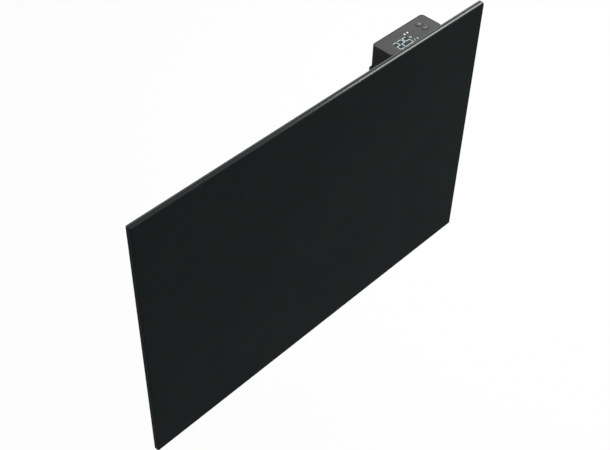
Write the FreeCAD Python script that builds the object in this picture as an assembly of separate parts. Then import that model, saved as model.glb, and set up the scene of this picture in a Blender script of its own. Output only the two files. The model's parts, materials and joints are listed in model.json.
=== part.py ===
import FreeCAD, Part
import math
import os

# Wall-hung electric panel heater with a control box behind its top edge.
# Millimetres. The origin is the centre of the four wall screws, on the wall. +Z is up, the front
# faces -Y, and +X is to the right as the front is seen.

Vector = FreeCAD.Vector
ALONG_X = Vector(1, 0, 0)
ALONG_Y = Vector(0, 1, 0)
ALONG_Z = Vector(0, 0, 1)

# Front panel: a folded steel pan with a return lip
panel_width = 584.0
panel_height = 400.0
panel_depth = 8.5
panel_sheet = 1.2
panel_top_bend = 2.3
panel_side_bend = 0.6
panel_back_bend = 0.4
lip_width = 34.0
lip_corner = 6.0

# Rear casing: a pressed steel tray screwed to the lip
casing_depth = 21.5
casing_inset = 40.0
casing_sheet = 1.0
casing_flange = 14.0
casing_corner = 6.0
casing_back_bend = 1.5
wall_gap = 40.0

# Wall bracket
screw_spacing_z = 140.0
wall_hole_radius = 2.75
bracket_sheet = 2.0
bracket_edge = 12.0
bracket_end = 20.0
bracket_corner = 3.0
bracket_gap = 1.0
crossbar_height = 24.0
crossbar_offset = 40.0
crossbar_gap = 1.5
bumper_width = 8.0
bumper_height = 20.0
bumper_grip = 9.0
bumper_gap = 0.2
bumper_end = 5.0
bumper_corner = 0.4

# Hooks on the bracket and their slots in the casing
hook_seat = 60.0
hook_arm = 10.0
hook_lip = 12.0
hook_lip_depth = 4.0
hook_throat = 4.5
hook_lead_in = 1.2
hook_side_gap = 0.6
hook_rest_gap = 0.2
lift_travel = 13.0
lift_gap = 0.5
hanger_sheet = 1.5
hanger_width = 36.0
hanger_board_gap = 20.0
hanger_margin = 8.0
hanger_rivet_margin = 1.5

# Heating layers inside the pan
element_sheet = 1.0
track_sheet = 0.3
track_width = 4.0
track_pitch = 12.0
track_margin = 10.0
terminal_radius = 2.5
terminal_hole_gap = 0.5
terminal_wall_gap = 2.0
terminal_from_board = 48.0
terminal_height = 6.0
cutout_from_terminal = 60.0
cutout_drop = 59.0
cutout_rise = 1.0
cutout_radius = 8.0
cutout_post_spacing = 9.0
cutout_post_radius = 2.0
layer_screw_gap = 1.0

# Screws, rivets and their holes
screw_radius = 2.0
screw_head_radius = 3.6
screw_head_height = 2.2
screw_tip = 2.0
small_screw_radius = 1.25
small_head_radius = 2.2
small_head_height = 1.6
rivet_radius = 2.0
rivet_head_radius = 3.5
rivet_head_height = 1.2
rivet_dome = 0.84
fastener_gap = 0.05
recess_share = 0.55
side_screw_z = 80.0
foot_screw_gap = 4.0
inner_screw_gap = 34.0

# Vents of the casing
vent_width = 4.0
vent_height = 40.0
vent_pitch = 12.0
vent_end_share = 0.49
vent_row_inset = 54.0
vent_margin = 28.0
wall_vent_length = 30.0
wall_vent_height = 6.0
wall_vent_pitch = 42.0

# Control box
control_width = 95.5
control_inset = 72.3
control_drop = 4.5
control_rear = 36.0
control_front_gap = 0.3
control_wall = 2.0
control_corner = 5.5
control_edge = 1.0
base_thickness = 2.0
ear_width = 4.6
spigot_wall = 1.5
spigot_height = 3.5
spigot_gap = 0.2
post_width = 8.0
post_depth = 6.0
post_height = 9.0
post_spacing = 60.0
post_screw_height = 5.0
post_screw_length = 7.0

# Fascia, display and keys on the control box
fascia_rim = 1.6
fascia_sheet = 1.5
fascia_sunk = 0.2
fascia_gap = 0.1
ledge_width = 1.2
ledge_height = 1.5
boss_radius = 2.8
board_sheet = 1.6
board_gap = 0.8
digit_left = 18.5
digit_front = 2.2
digit_height = 14.6
digit_width = 7.2
digit_pitch = 8.5
digit_stroke = 1.0
digit_seam = 0.2
digit_module_rim = 0.4
digit_module_gap = 0.2
mark_depth = 0.5
point_radius = 0.75
degree_radius = 1.7
degree_stroke = 0.8
sign_gap = 1.6
sign_drop = 1.6
sign_length = 5.1
sign_dot_radius = 1.2
lamp_left = 45.9
lamp_front = 20.4
lamp_pitch = 5.3
lamp_radius = 1.25
key_right = 19.9
key_forward = 1.0
key_pitch = 10.1
key_length = 11.4
key_width = 7.4
key_gap = 0.3
key_proud = 0.7
key_travel = 0.6
key_flange = 0.6
key_flange_height = 0.8
key_under_gap = 0.1
key_stem_radius = 2.0
key_stem_height = 1.8
key_mark_length = 4.4
key_mark_stroke = 1.0
key_mark_depth = 0.3
switch_side = 6.0
switch_height = 3.4
plunger_radius = 1.75
plunger_height = 1.0

# Power board and its pieces in the right-hand bay
power_width = 70.0
power_height = 110.0
power_right_gap = 17.0
power_top_gap = 23.0
standoff_height = 5.0
standoff_radius = 3.0
standoff_inset = 6.0
standoff_floor = 1.0
standoff_screw_gap = 0.5
relay_length = 28.5
relay_width = 10.2
relay_height = 12.3
relay_inset = 14.0
relay_rise = 34.0
supply_width = 20.0
supply_length = 34.0
supply_height = 11.0
supply_inset = 12.0
supply_rise = 54.0
component_corner = 0.8
capacitor_radius = 5.0
capacitor_height = 11.5
clamp_width = 12.0
clamp_height = 18.0
clamp_depth = 9.0
clamp_pitch = 7.0
clamp_rise = 14.0
plug_width = 26.0
plug_height = 10.0
plug_pitch = 8.0
plug_inset = 12.0
ribbon_inset = 31.0
ribbon_width = 10.0
ribbon_sheet = 1.0
ribbon_hole_gap = 3.0
header_rim = 2.0
header_height = 6.0
header_drop = 12.0

# Mains inlet, earth, room sensor and rocker switch
block_width = 32.0
block_height = 18.0
block_depth = 14.0
block_pitch = 8.0
block_from_gland = 36.0
block_well_radius = 2.4
block_well_depth = 4.0
gland_inset = 60.0
gland_bore = 3.5
gland_radius = 6.0
gland_collar_radius = 9.0
gland_collar_height = 6.0
gland_inner_height = 8.0
gland_nut_flats = 15.0
gland_nut_height = 5.0
sensor_inset = 20.0
sensor_radius = 4.0
sensor_collar_radius = 6.0
sensor_collar_height = 2.0
sensor_tip_radius = 3.0
sensor_tip_height = 5.0
sensor_tip_round = 2.7
sensor_inner_height = 9.0
earth_offset = 30.0
earth_rise = 24.0
earth_radius = 2.0
earth_length = 13.0
earth_nut_flats = 7.0
earth_nut_height = 3.2
earth_lug_sheet = 1.0
earth_lug_radius = 5.0
earth_lug_tail = 9.0
rocker_drop = 50.0
rocker_bezel_height = 21.0
rocker_bezel_width = 15.0
rocker_bezel_depth = 2.0
rocker_bezel_corner = 1.5
rocker_body_height = 19.2
rocker_body_width = 12.8
rocker_body_depth = 14.0
rocker_wall = 1.4
rocker_floor = 6.0
rocker_gap = 0.3
rocker_length = 14.0
rocker_pivot_depth = 3.0
rocker_pin_radius = 1.4
rocker_pin_reach = 0.8
rocker_rise = 6.2
rocker_dip = 1.2
rocker_root = 3.0
rocker_tilt = 9.0
rocker_round = 0.6
blade_length = 7.0
blade_width = 4.8
blade_sheet = 0.8
blade_spacing = 14.0
lead_radius = 1.2
sensor_lead_radius = 0.8
sensor_lead_offset = 5.0
lead_bend = 5.0
lead_margin = 14.0
lead_spacing = 8.0
neutral_drop = 18.0
sensor_lead_rise = 20.0
sensor_lead_slant = 30.0
plate_width = 64.0
plate_height = 34.0
plate_sheet = 0.5
plate_corner = 2.0

# Planes from the wall to the front
casing_back = -wall_gap
cavity_back = casing_back - casing_sheet
panel_back = casing_back - casing_depth
flange_back = panel_back + casing_sheet
panel_front = panel_back - panel_depth
pan_floor = panel_front + panel_sheet
lip_inside = panel_back - panel_sheet
element_back = pan_floor + element_sheet
track_back = element_back + track_sheet
bay_middle = (flange_back + cavity_back) / 2

# Edges of the panel, the casing and the control box
panel_right = panel_width / 2
panel_top = panel_height / 2
casing_right = panel_right - casing_inset
casing_top = panel_top - casing_inset
screw_inset = (lip_width + casing_inset - casing_flange) / 2
layer_right = panel_right - screw_inset - screw_radius - layer_screw_gap
layer_top = panel_top - screw_inset - screw_radius - layer_screw_gap
control_right = panel_right - control_inset
control_left = control_right - control_width
control_centre_x = (control_left + control_right) / 2
control_front = flange_back + control_front_gap
control_back = panel_back + control_rear
control_top = panel_top - control_drop
control_bottom = casing_top + base_thickness
fascia_top = control_top - fascia_sunk
fascia_under = fascia_top - fascia_sheet
ledge_under = fascia_under - ledge_height
key_stack = key_under_gap + key_flange_height + key_stem_height + key_travel + key_under_gap
board_top = fascia_under - key_stack - plunger_height - switch_height
board_under = board_top - board_sheet
key_x = control_right - key_right
key_middle = (control_front + control_back) / 2 - key_forward
digit_x = control_left + digit_left + digit_width / 2
digit_y = control_front + digit_front + digit_height / 2
last_digit_x = digit_x + 2 * digit_pitch

# Places in the right-hand bay
power_right = casing_right - casing_sheet - power_right_gap
power_left = power_right - power_width
power_top = casing_top - casing_sheet - power_top_gap
power_bottom = power_top - power_height
power_back = cavity_back - standoff_height
power_front = power_back - board_sheet
ribbon_x = control_right - ribbon_inset
gland_x = casing_right - gland_inset
sensor_x = casing_right - sensor_inset
block_bottom = -casing_top + block_from_gland
block_top = block_bottom + block_height
earth_x = gland_x - earth_offset
earth_z = block_top + earth_rise
rocker_z = power_bottom - rocker_drop
clamp_bottom = power_bottom + clamp_rise
plug_right = power_right - plug_inset
vent_row_z = casing_top - vent_row_inset
track_run = casing_top - casing_sheet - terminal_wall_gap - terminal_radius
terminal_x = power_left - terminal_from_board
cutout_x = terminal_x - cutout_from_terminal
cutout_z = track_run - cutout_drop

# Places on the bracket
upright_x = power_left - hanger_board_gap - hanger_width / 2
screw_x = upright_x - bracket_edge
bracket_top = screw_spacing_z / 2 + bracket_end
web_front = casing_back + bracket_gap


def block(low, high):
    """A plain block between two corners."""
    return Part.makeBox(high[0] - low[0], high[1] - low[1], high[2] - low[2], Vector(*low))


def rod(start, direction, radius, length):
    """A round rod from a point along a direction."""
    return Part.makeCylinder(radius, length, Vector(*start), direction)


def edges_along(solid, direction):
    """The straight edges of a solid that run along a direction."""
    found = []
    for edge in solid.Edges:
        run = edge.Vertexes[-1].Point - edge.Vertexes[0].Point
        if run.Length > 0 and abs(run.dot(direction)) > 0.999 * run.Length:
            found.append(edge)
    return found


def rim_edges(solid, letter, level):
    """The edges of a solid that lie in one plane across an axis."""
    found = []
    for edge in solid.Edges:
        lowest = getattr(edge.BoundBox, letter + "Min")
        highest = getattr(edge.BoundBox, letter + "Max")
        if abs(lowest - level) < 1e-5 and abs(highest - level) < 1e-5:
            found.append(edge)
    return found


def folded_block(low, high, top_bend, side_bend, back_bend):
    """A block with a soft bend along its top front edge and tighter ones round its other edges."""
    solid = block(low, high)
    middle_z = (low[2] + high[2]) / 2
    top_edges = [edge for edge in rim_edges(solid, "Y", low[1]) if edge.BoundBox.ZMin > middle_z]
    solid = solid.makeFillet(top_bend, top_edges)
    side_edges = [edge for edge in rim_edges(solid, "Y", low[1]) if edge.BoundBox.ZMin < middle_z]
    solid = solid.makeFillet(side_bend, side_edges)
    return solid.makeFillet(back_bend, rim_edges(solid, "Y", high[1]))


def rounded_block(low, high, direction, radius):
    """A block whose four edges along a direction are rounded."""
    solid = block(low, high)
    return solid.makeFillet(radius, edges_along(solid, direction))


def stadium(centre, direction_x, length, width, low_z, high_z):
    """An upright prism with a long round-ended outline."""
    half = (length - width) / 2
    across = Vector(-direction_x.y, direction_x.x, 0) * (width / 2)
    tip = direction_x * (length / 2)
    middle = Vector(centre[0], centre[1], low_z)
    near = middle - direction_x * half
    far = middle + direction_x * half
    outline = Part.Wire([
        Part.LineSegment(near - across, far - across).toShape(),
        Part.Arc(far - across, middle + tip, far + across).toShape(),
        Part.LineSegment(far + across, near + across).toShape(),
        Part.Arc(near + across, middle - tip, near - across).toShape(),
    ])
    return Part.Face(outline).extrude(Vector(0, 0, high_z - low_z))


def hexagon(start, direction, flats, length):
    """A six-sided prism from a point along a direction, as wide across its flats as given."""
    corner_radius = flats / math.sqrt(3)
    points = []
    for corner in range(7):
        angle = math.radians(60 * corner)
        points.append(Vector(corner_radius * math.cos(angle), corner_radius * math.sin(angle), 0))
    prism = Part.Face(Part.makePolygon(points)).extrude(Vector(0, 0, length))
    prism.Placement = FreeCAD.Placement(Vector(*start), FreeCAD.Rotation(ALONG_Z, direction))
    return prism


def screw(seat, inward, radius, length, head_radius, head_height):
    """A screw with a rounded head on its seat, a cross recess and a shank that runs inward."""
    head = Part.makeCylinder(head_radius, head_height)
    head = head.makeFillet(head_height / 2, rim_edges(head, "Z", head_height))
    recess_reach = head_radius * recess_share
    recess_half = radius / 4
    recess_floor = head_height / 2
    for half_x, half_y in ((recess_reach, recess_half), (recess_half, recess_reach)):
        head = head.cut(block((-half_x, -half_y, recess_floor), (half_x, half_y, head_height)))
    shank = Part.makeCylinder(radius, length, Vector(0, 0, -length))
    whole = head.fuse(shank).removeSplitter()
    whole.Placement = FreeCAD.Placement(Vector(*seat), FreeCAD.Rotation(ALONG_Z, inward * -1))
    return whole


def rivet(seat, inward, grip, closed):
    """A rivet with a head on its seat, a shank through the sheets and, where closed, a second head."""
    head = Part.makeCylinder(rivet_head_radius, rivet_head_height)
    head = head.makeFillet(rivet_dome, rim_edges(head, "Z", rivet_head_height))
    whole = head.fuse(Part.makeCylinder(rivet_radius, grip, Vector(0, 0, -grip)))
    if closed:
        tail_end = Vector(0, 0, -grip - rivet_head_height)
        tail = Part.makeCylinder(rivet_head_radius, rivet_head_height, tail_end)
        whole = whole.fuse(tail)
    whole = whole.removeSplitter()
    whole.Placement = FreeCAD.Placement(Vector(*seat), FreeCAD.Rotation(ALONG_Z, inward * -1))
    return whole


def lead(points, radius):
    """A round lead along straight runs joined by tangent arcs."""
    corners = [Vector(*point) for point in points]
    edges = []
    start = corners[0]
    for before, corner, after in zip(corners, corners[1:], corners[2:]):
        arriving = (corner - before).normalize()
        leaving = (after - corner).normalize()
        turn = arriving.getAngle(leaving)
        reach = lead_bend * math.tan(turn / 2)
        inward = (leaving - arriving).normalize()
        arc_start = corner - arriving * reach
        arc_end = corner + leaving * reach
        arc_middle = corner + inward * (lead_bend / math.cos(turn / 2) - lead_bend)
        edges.append(Part.LineSegment(start, arc_start).toShape())
        edges.append(Part.Arc(arc_start, arc_middle, arc_end).toShape())
        start = arc_end
    edges.append(Part.LineSegment(start, corners[-1]).toShape())
    section = Part.Wire(Part.makeCircle(radius, corners[0], corners[1] - corners[0]))
    return Part.Wire(edges).makePipeShell([section], True, False)


def flange_screw_places():
    """Where the casing's flange is screwed to the lip, clear of the control box's foot."""
    outer = control_right + ear_width + screw_head_radius + foot_screw_gap
    inner = control_left - ear_width - screw_head_radius - inner_screw_gap
    row = panel_top - screw_inset
    column = panel_right - screw_inset
    places = []
    for x in (-outer, -inner, inner, outer):
        places += [(x, row), (x, -row)]
    for z in (-side_screw_z, side_screw_z):
        places += [(-column, z), (column, z)]
    return places


def hook_slot(side, back, front):
    """The upright slot that takes one hook, with room for the lift."""
    half = bracket_sheet / 2 + hook_side_gap
    centre = side * upright_x
    bottom = hook_seat - hook_arm - lift_travel - lift_gap
    return block((centre - half, front, bottom), (centre + half, back, hook_seat + hook_rest_gap))


def hanger_rivet_places(side):
    """The four rivets of one hanger plate."""
    bottom, top = hanger_span()
    margin = rivet_head_radius + hanger_rivet_margin
    reach_x = hanger_width / 2 - margin
    places = []
    for x in (-reach_x, reach_x):
        places += [(side * upright_x + x, bottom + margin), (side * upright_x + x, top - margin)]
    return places


def hanger_span():
    """The lowest and highest levels of the hanger plates."""
    bottom = hook_seat - hook_arm - lift_travel - lift_gap - hanger_margin
    return bottom, hook_seat + hook_rest_gap + hanger_margin


def ear_screw_places():
    """The screws that hold the control box's foot to the casing's top."""
    reach = control_width / 2 + ear_width / 2
    return [(control_centre_x - reach, bay_middle), (control_centre_x + reach, bay_middle)]


def standoff_places():
    """The four corners at which the power board is held."""
    places = []
    for x in (power_left + standoff_inset, power_right - standoff_inset):
        places += [(x, power_bottom + standoff_inset), (x, power_top - standoff_inset)]
    return places


def front_panel():
    """The folded front pan with its return lip."""
    pan = folded_block((-panel_right, panel_front, -panel_top), (panel_right, panel_back, panel_top),
                       panel_top_bend + panel_sheet, panel_side_bend + panel_sheet,
                       panel_back_bend + panel_sheet)
    inner_right = panel_right - panel_sheet
    inner_top = panel_top - panel_sheet
    hollow = folded_block((-inner_right, pan_floor, -inner_top), (inner_right, lip_inside, inner_top),
                          panel_top_bend, panel_side_bend, panel_back_bend)
    window_right = panel_right - lip_width
    window_top = panel_top - lip_width
    window = rounded_block((-window_right, lip_inside, -window_top), (window_right, panel_back, window_top),
                           ALONG_Y, lip_corner)
    pan = pan.cut(hollow.fuse(window))
    for x, z in flange_screw_places():
        pan = pan.cut(rod((x, lip_inside, z), ALONG_Y, screw_radius + fastener_gap, panel_sheet))
    return pan


def heating_layers():
    """The element board, its track and terminals, the overheat cut-out and the insulation."""
    board = block((-layer_right, pan_floor, -layer_top), (layer_right, element_back, layer_top))
    runs = int(2 * track_run / track_pitch)
    runs -= runs % 2
    pitch = 2 * track_run / (runs - 1)
    reach = layer_right - track_margin
    path = [(terminal_x, -track_run)]
    for run in range(runs):
        level = -track_run + run * pitch
        end = -reach if run % 2 == 0 else reach
        path += [(end, level)]
        if run < runs - 1:
            path += [(end, level + pitch)]
    path[-1] = (terminal_x, track_run)
    strips = []
    half = track_width / 2
    for first, second in zip(path, path[1:]):
        low = (min(first[0], second[0]) - half, element_back, min(first[1], second[1]) - half)
        high = (max(first[0], second[0]) + half, track_back, max(first[1], second[1]) + half)
        strips.append(block(low, high))
    track = strips[0].multiFuse(strips[1:]).removeSplitter()

    insulation = block((-layer_right, track_back, -layer_top), (layer_right, lip_inside, layer_top))
    post_top = lip_inside + terminal_height
    terminals = []
    for z in (-track_run, track_run):
        terminals.append(rod((terminal_x, track_back, z), ALONG_Y, terminal_radius, post_top - track_back))
        hole_radius = terminal_radius + terminal_hole_gap
        insulation = insulation.cut(rod((terminal_x, track_back, z), ALONG_Y, hole_radius, panel_depth))
    cutout_face = lip_inside + cutout_rise
    cutout = rod((cutout_x, track_back, cutout_z), ALONG_Y, cutout_radius, cutout_face - track_back)
    for side in (-1, 1):
        x = cutout_x + side * cutout_post_spacing / 2
        post = rod((x, cutout_face, cutout_z), ALONG_Y, cutout_post_radius, post_top - cutout_face)
        cutout = cutout.fuse(post)
    hole_radius = cutout_radius + terminal_hole_gap
    insulation = insulation.cut(rod((cutout_x, track_back, cutout_z), ALONG_Y, hole_radius, panel_depth))
    return {
        "heating_element": board,
        "resistance_track": track,
        "element_terminals": Part.makeCompound(terminals),
        "overheat_cutout": cutout.removeSplitter(),
        "insulation_board": insulation,
    }


def vent_cuts():
    """The rows of vents in the casing's back, top and bottom."""
    cuts = []
    reach = casing_right - vent_margin
    columns = int(2 * reach / vent_pitch)
    for row in (-1, 1):
        for column in range(columns + 1):
            x = -reach + column * vent_pitch
            if row < 0 and x > terminal_x:
                continue
            low_z = row * vent_row_z - vent_height / 2
            slot = rounded_block((x - vent_width / 2, cavity_back, low_z),
                                 (x + vent_width / 2, casing_back, low_z + vent_height),
                                 ALONG_Y, vent_width * vent_end_share)
            cuts.append(slot)
    last_x = control_left - ear_width - wall_vent_length
    for column in range(int((last_x + reach) / wall_vent_pitch) + 1):
        x = -reach + column * wall_vent_pitch
        for low_z in (-casing_top, casing_top - casing_sheet):
            half_y = wall_vent_height / 2
            slot = rounded_block((x, bay_middle - half_y, low_z),
                                 (x + wall_vent_length, bay_middle + half_y, low_z + casing_sheet),
                                 ALONG_Z, wall_vent_height * vent_end_share)
            cuts.append(slot)
    return cuts


def casing_cuts():
    """The holes in the casing for what passes through it or is fastened to it."""
    cuts = []
    for x, z in flange_screw_places():
        cuts.append(rod((x, panel_back, z), ALONG_Y, screw_radius + fastener_gap, casing_sheet))
    for side in (-1, 1):
        cuts.append(hook_slot(side, casing_back, cavity_back))
        for x, z in hanger_rivet_places(side):
            cuts.append(rod((x, cavity_back, z), ALONG_Y, rivet_radius + fastener_gap, casing_sheet))
    roof_under = casing_top - casing_sheet
    for x, y in ear_screw_places():
        cuts.append(rod((x, y, roof_under), ALONG_Z, small_screw_radius + fastener_gap, casing_sheet))
    cuts.append(ribbon_opening(roof_under, casing_top))
    bottom = -casing_top
    cuts.append(rod((gland_x, bay_middle, bottom), ALONG_Z, gland_radius + fastener_gap, casing_sheet))
    cuts.append(rod((sensor_x, bay_middle, bottom), ALONG_Z, sensor_radius + fastener_gap, casing_sheet))
    half_y = rocker_body_width / 2 + fastener_gap
    half_z = rocker_body_height / 2 + fastener_gap
    cuts.append(block((casing_right - casing_sheet, bay_middle - half_y, rocker_z - half_z),
                      (casing_right, bay_middle + half_y, rocker_z + half_z)))
    return cuts


def ribbon_opening(low_z, high_z):
    """The hole through which the ribbon lead passes from the casing into the control box."""
    half_x = ribbon_width / 2 + ribbon_hole_gap
    half_y = ribbon_sheet / 2 + ribbon_hole_gap
    return block((ribbon_x - half_x, bay_middle - half_y, low_z),
                 (ribbon_x + half_x, bay_middle + half_y, high_z))


def rear_casing():
    """The pressed tray behind the panel, with its flange, vents and holes."""
    back_bend = casing_back_bend + casing_sheet
    shell = rounded_block((-casing_right, panel_back, -casing_top), (casing_right, casing_back, casing_top),
                          ALONG_Y, casing_corner)
    shell = shell.makeFillet(back_bend, rim_edges(shell, "Y", casing_back))
    inner_right = casing_right - casing_sheet
    inner_top = casing_top - casing_sheet
    hollow = rounded_block((-inner_right, panel_back, -inner_top), (inner_right, cavity_back, inner_top),
                           ALONG_Y, casing_corner - casing_sheet)
    hollow = hollow.makeFillet(casing_back_bend, rim_edges(hollow, "Y", cavity_back))
    flange_right = casing_right + casing_flange
    flange_top = casing_top + casing_flange
    flange = rounded_block((-flange_right, panel_back, -flange_top), (flange_right, flange_back, flange_top),
                           ALONG_Y, casing_corner)
    tray = shell.fuse(flange).cut(hollow).removeSplitter()
    return tray.cut(Part.makeCompound(casing_cuts() + vent_cuts()))


def casing_fasteners():
    """The screws that hold the casing to the front panel's lip."""
    length = casing_sheet + panel_sheet + screw_tip
    screws = []
    for x, z in flange_screw_places():
        screws.append(screw((x, flange_back, z), ALONG_Y * -1, screw_radius, length,
                            screw_head_radius, screw_head_height))
    return Part.makeCompound(screws)


def hangers():
    """The plates that stiffen the hook slots, and their rivets."""
    bottom, top = hanger_span()
    inside = cavity_back - hanger_sheet
    found = {}
    rivets = []
    for side, name in ((-1, "left_hanger_plate"), (1, "right_hanger_plate")):
        centre = side * upright_x
        plate = rounded_block((centre - hanger_width / 2, inside, bottom),
                              (centre + hanger_width / 2, cavity_back, top), ALONG_Y, rivet_radius)
        plate = plate.cut(hook_slot(side, cavity_back, inside))
        for x, z in hanger_rivet_places(side):
            plate = plate.cut(rod((x, inside, z), ALONG_Y, rivet_radius + fastener_gap, hanger_sheet))
            rivets.append(rivet((x, casing_back, z), ALONG_Y * -1, casing_sheet + hanger_sheet, True))
        found[name] = plate
    found["hanger_rivets"] = Part.makeCompound(rivets)
    return found


def bracket():
    """The wall bracket: two uprights with hooks, two crossbars, rivets and rubber bumpers."""
    found = {}
    rivets = []
    bumpers = []
    half = bracket_sheet / 2
    two_sheets = 2 * bracket_sheet
    hole_radius = rivet_radius + fastener_gap
    lip_back = casing_back + bracket_gap - hook_throat
    lip_front = lip_back - hook_lip_depth
    lip_top = hook_seat + hook_lip
    hook_outline = [
        (web_front, hook_seat - hook_arm),
        (lip_front, hook_seat - hook_arm),
        (lip_front, lip_top - hook_lead_in),
        (lip_front + hook_lead_in, lip_top),
        (lip_back - hook_lead_in, lip_top),
        (lip_back, lip_top - hook_lead_in),
        (lip_back, hook_seat),
        (web_front, hook_seat),
        (web_front, hook_seat - hook_arm),
    ]
    flange_inner = screw_x - bracket_edge
    crossbar_levels = (-crossbar_offset, crossbar_offset)
    rivet_rise = crossbar_height / 4
    for side, name in ((-1, "left_upright"), (1, "right_upright")):
        centre = side * upright_x
        web = rounded_block((centre - half, web_front, -bracket_top), (centre + half, 0, bracket_top),
                            ALONG_X, bracket_corner)
        low_x = min(side * flange_inner, centre + side * half)
        high_x = max(side * flange_inner, centre + side * half)
        flange = block((low_x, -bracket_sheet, -bracket_top), (high_x, 0, bracket_top))
        points = [Vector(centre - half, y, z) for y, z in hook_outline]
        hook = Part.Face(Part.makePolygon(points)).extrude(Vector(bracket_sheet, 0, 0))
        upright = web.fuse([flange, hook]).removeSplitter()
        for z in (-screw_spacing_z / 2, screw_spacing_z / 2):
            wall_hole = rod((side * screw_x, -bracket_sheet, z), ALONG_Y, wall_hole_radius, bracket_sheet)
            upright = upright.cut(wall_hole)
        for level in crossbar_levels:
            for z in (level - rivet_rise, level + rivet_rise):
                rivet_hole = rod((side * screw_x, -bracket_sheet, z), ALONG_Y, hole_radius, bracket_sheet)
                upright = upright.cut(rivet_hole)
                rivets.append(rivet((side * screw_x, -two_sheets, z), ALONG_Y, two_sheets, False))
        found[name] = upright
        bumper_low = -bracket_top + bumper_end
        bumper_high = bumper_low + bumper_height
        bumper = rounded_block((centre - bumper_width / 2, casing_back + bumper_gap, bumper_low),
                               (centre + bumper_width / 2, web_front + bumper_grip, bumper_high),
                               ALONG_Z, bumper_corner)
        bumpers.append(bumper.cut(upright))
    bar_reach = upright_x - half - crossbar_gap
    for level, name in zip(crossbar_levels, ("lower_crossbar", "upper_crossbar")):
        bar = rounded_block((-bar_reach, -two_sheets, level - crossbar_height / 2),
                            (bar_reach, -bracket_sheet, level + crossbar_height / 2), ALONG_Y, bracket_corner)
        for x in (-screw_x, screw_x):
            for z in (level - rivet_rise, level + rivet_rise):
                bar = bar.cut(rod((x, -two_sheets, z), ALONG_Y, hole_radius, bracket_sheet))
        found[name] = bar
    found["bracket_rivets"] = Part.makeCompound(rivets)
    found["bracket_bumpers"] = Part.makeCompound(bumpers)
    return found


def control_outline(inset, low_z, high_z, corner):
    """An upright prism inside the control box's outline."""
    return rounded_block((control_left + inset, control_front + inset, low_z),
                         (control_right - inset, control_back - inset, high_z), ALONG_Z, corner)


def boss_places():
    """The four corners at which the display board is held."""
    inset = control_wall + boss_radius
    places = []
    for x in (control_left + inset, control_right - inset):
        places += [(x, control_front + inset), (x, control_back - inset)]
    return places


def control_base():
    """The control box's foot with its ears, locating spigot and screw posts."""
    foot = rounded_block((control_left - ear_width, control_front, casing_top),
                         (control_right + ear_width, control_back, control_bottom), ALONG_Z, control_corner)
    spigot_inset = control_wall + spigot_gap
    spigot_corner = control_corner - control_wall
    spigot_top = control_bottom + spigot_height
    spigot = control_outline(spigot_inset, control_bottom, spigot_top, spigot_corner)
    spigot_core = control_outline(spigot_inset + spigot_wall, control_bottom, spigot_top, spigot_corner / 2)
    spigot = spigot.cut(spigot_core)
    pieces = [spigot]
    post_back = control_back - spigot_inset
    for side in (-1, 1):
        x = control_centre_x + side * post_spacing / 2
        pieces.append(block((x - post_width / 2, post_back - post_depth, control_bottom),
                            (x + post_width / 2, post_back, control_bottom + post_height)))
    foot = foot.fuse(pieces).removeSplitter()
    for x, y, z in cover_screw_places():
        depth = post_screw_length
        foot = foot.cut(rod((x, control_back - depth, z), ALONG_Y, small_screw_radius + fastener_gap, depth))
    for x, y in ear_screw_places():
        foot = foot.cut(rod((x, y, casing_top), ALONG_Z, small_screw_radius + fastener_gap, base_thickness))
    return foot.cut(ribbon_opening(casing_top, control_bottom))


def cover_screw_places():
    """The screws through the cover's back into the foot's posts."""
    level = control_bottom + post_screw_height
    reach = post_spacing / 2
    return [(control_centre_x - reach, control_back, level), (control_centre_x + reach, control_back, level)]


def control_cover():
    """The control box's shell, with a ledge for the fascia and bosses for the display board."""
    shell = control_outline(0, control_bottom, control_top, control_corner)
    shell = shell.makeFillet(control_edge, rim_edges(shell, "Z", control_top))
    inside_corner = control_corner - control_wall
    shell = shell.cut(control_outline(control_wall, control_bottom, ledge_under, inside_corner))
    recess_corner = control_corner - fascia_rim
    recess = control_outline(fascia_rim, fascia_under, control_top, recess_corner)
    window = control_outline(fascia_rim + ledge_width, ledge_under, fascia_under, recess_corner / 2)
    shell = shell.cut(recess.fuse(window))
    boss_height = fascia_under - board_top
    bosses = [rod((x, y, board_top), ALONG_Z, boss_radius, boss_height) for x, y in boss_places()]
    shell = shell.fuse(bosses).removeSplitter()
    for x, y in boss_places():
        screw_hole = rod((x, y, board_top), ALONG_Z, small_screw_radius + fastener_gap, boss_height / 2)
        shell = shell.cut(screw_hole)
    for x, y, z in cover_screw_places():
        hole_radius = small_screw_radius + fastener_gap
        shell = shell.cut(rod((x, y - control_wall, z), ALONG_Y, hole_radius, control_wall))
    return shell


def digit_bars(centre_x, lit):
    """The lit bars of one seven-bar digit, each a flat round-ended bar."""
    half_width = (digit_width - digit_stroke) / 2
    half_height = (digit_height - digit_stroke) / 2
    flat_length = 2 * half_width - digit_stroke - digit_seam
    tall_length = half_height - digit_stroke - digit_seam
    level = fascia_top - mark_depth
    bars = []
    for name in lit:
        if name in ("top", "middle", "bottom"):
            rise = {"top": half_height, "middle": 0.0, "bottom": -half_height}[name]
            place = (centre_x, digit_y + rise)
            bars.append(stadium(place, ALONG_X, flat_length + digit_stroke, digit_stroke, level, fascia_top))
        else:
            row, column = name.split("_")
            shift_y = half_height / 2 if row == "upper" else -half_height / 2
            shift_x = half_width if column == "right" else -half_width
            place = (centre_x + shift_x, digit_y + shift_y)
            bars.append(stadium(place, ALONG_Y, tall_length + digit_stroke, digit_stroke, level, fascia_top))
    return bars


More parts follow.
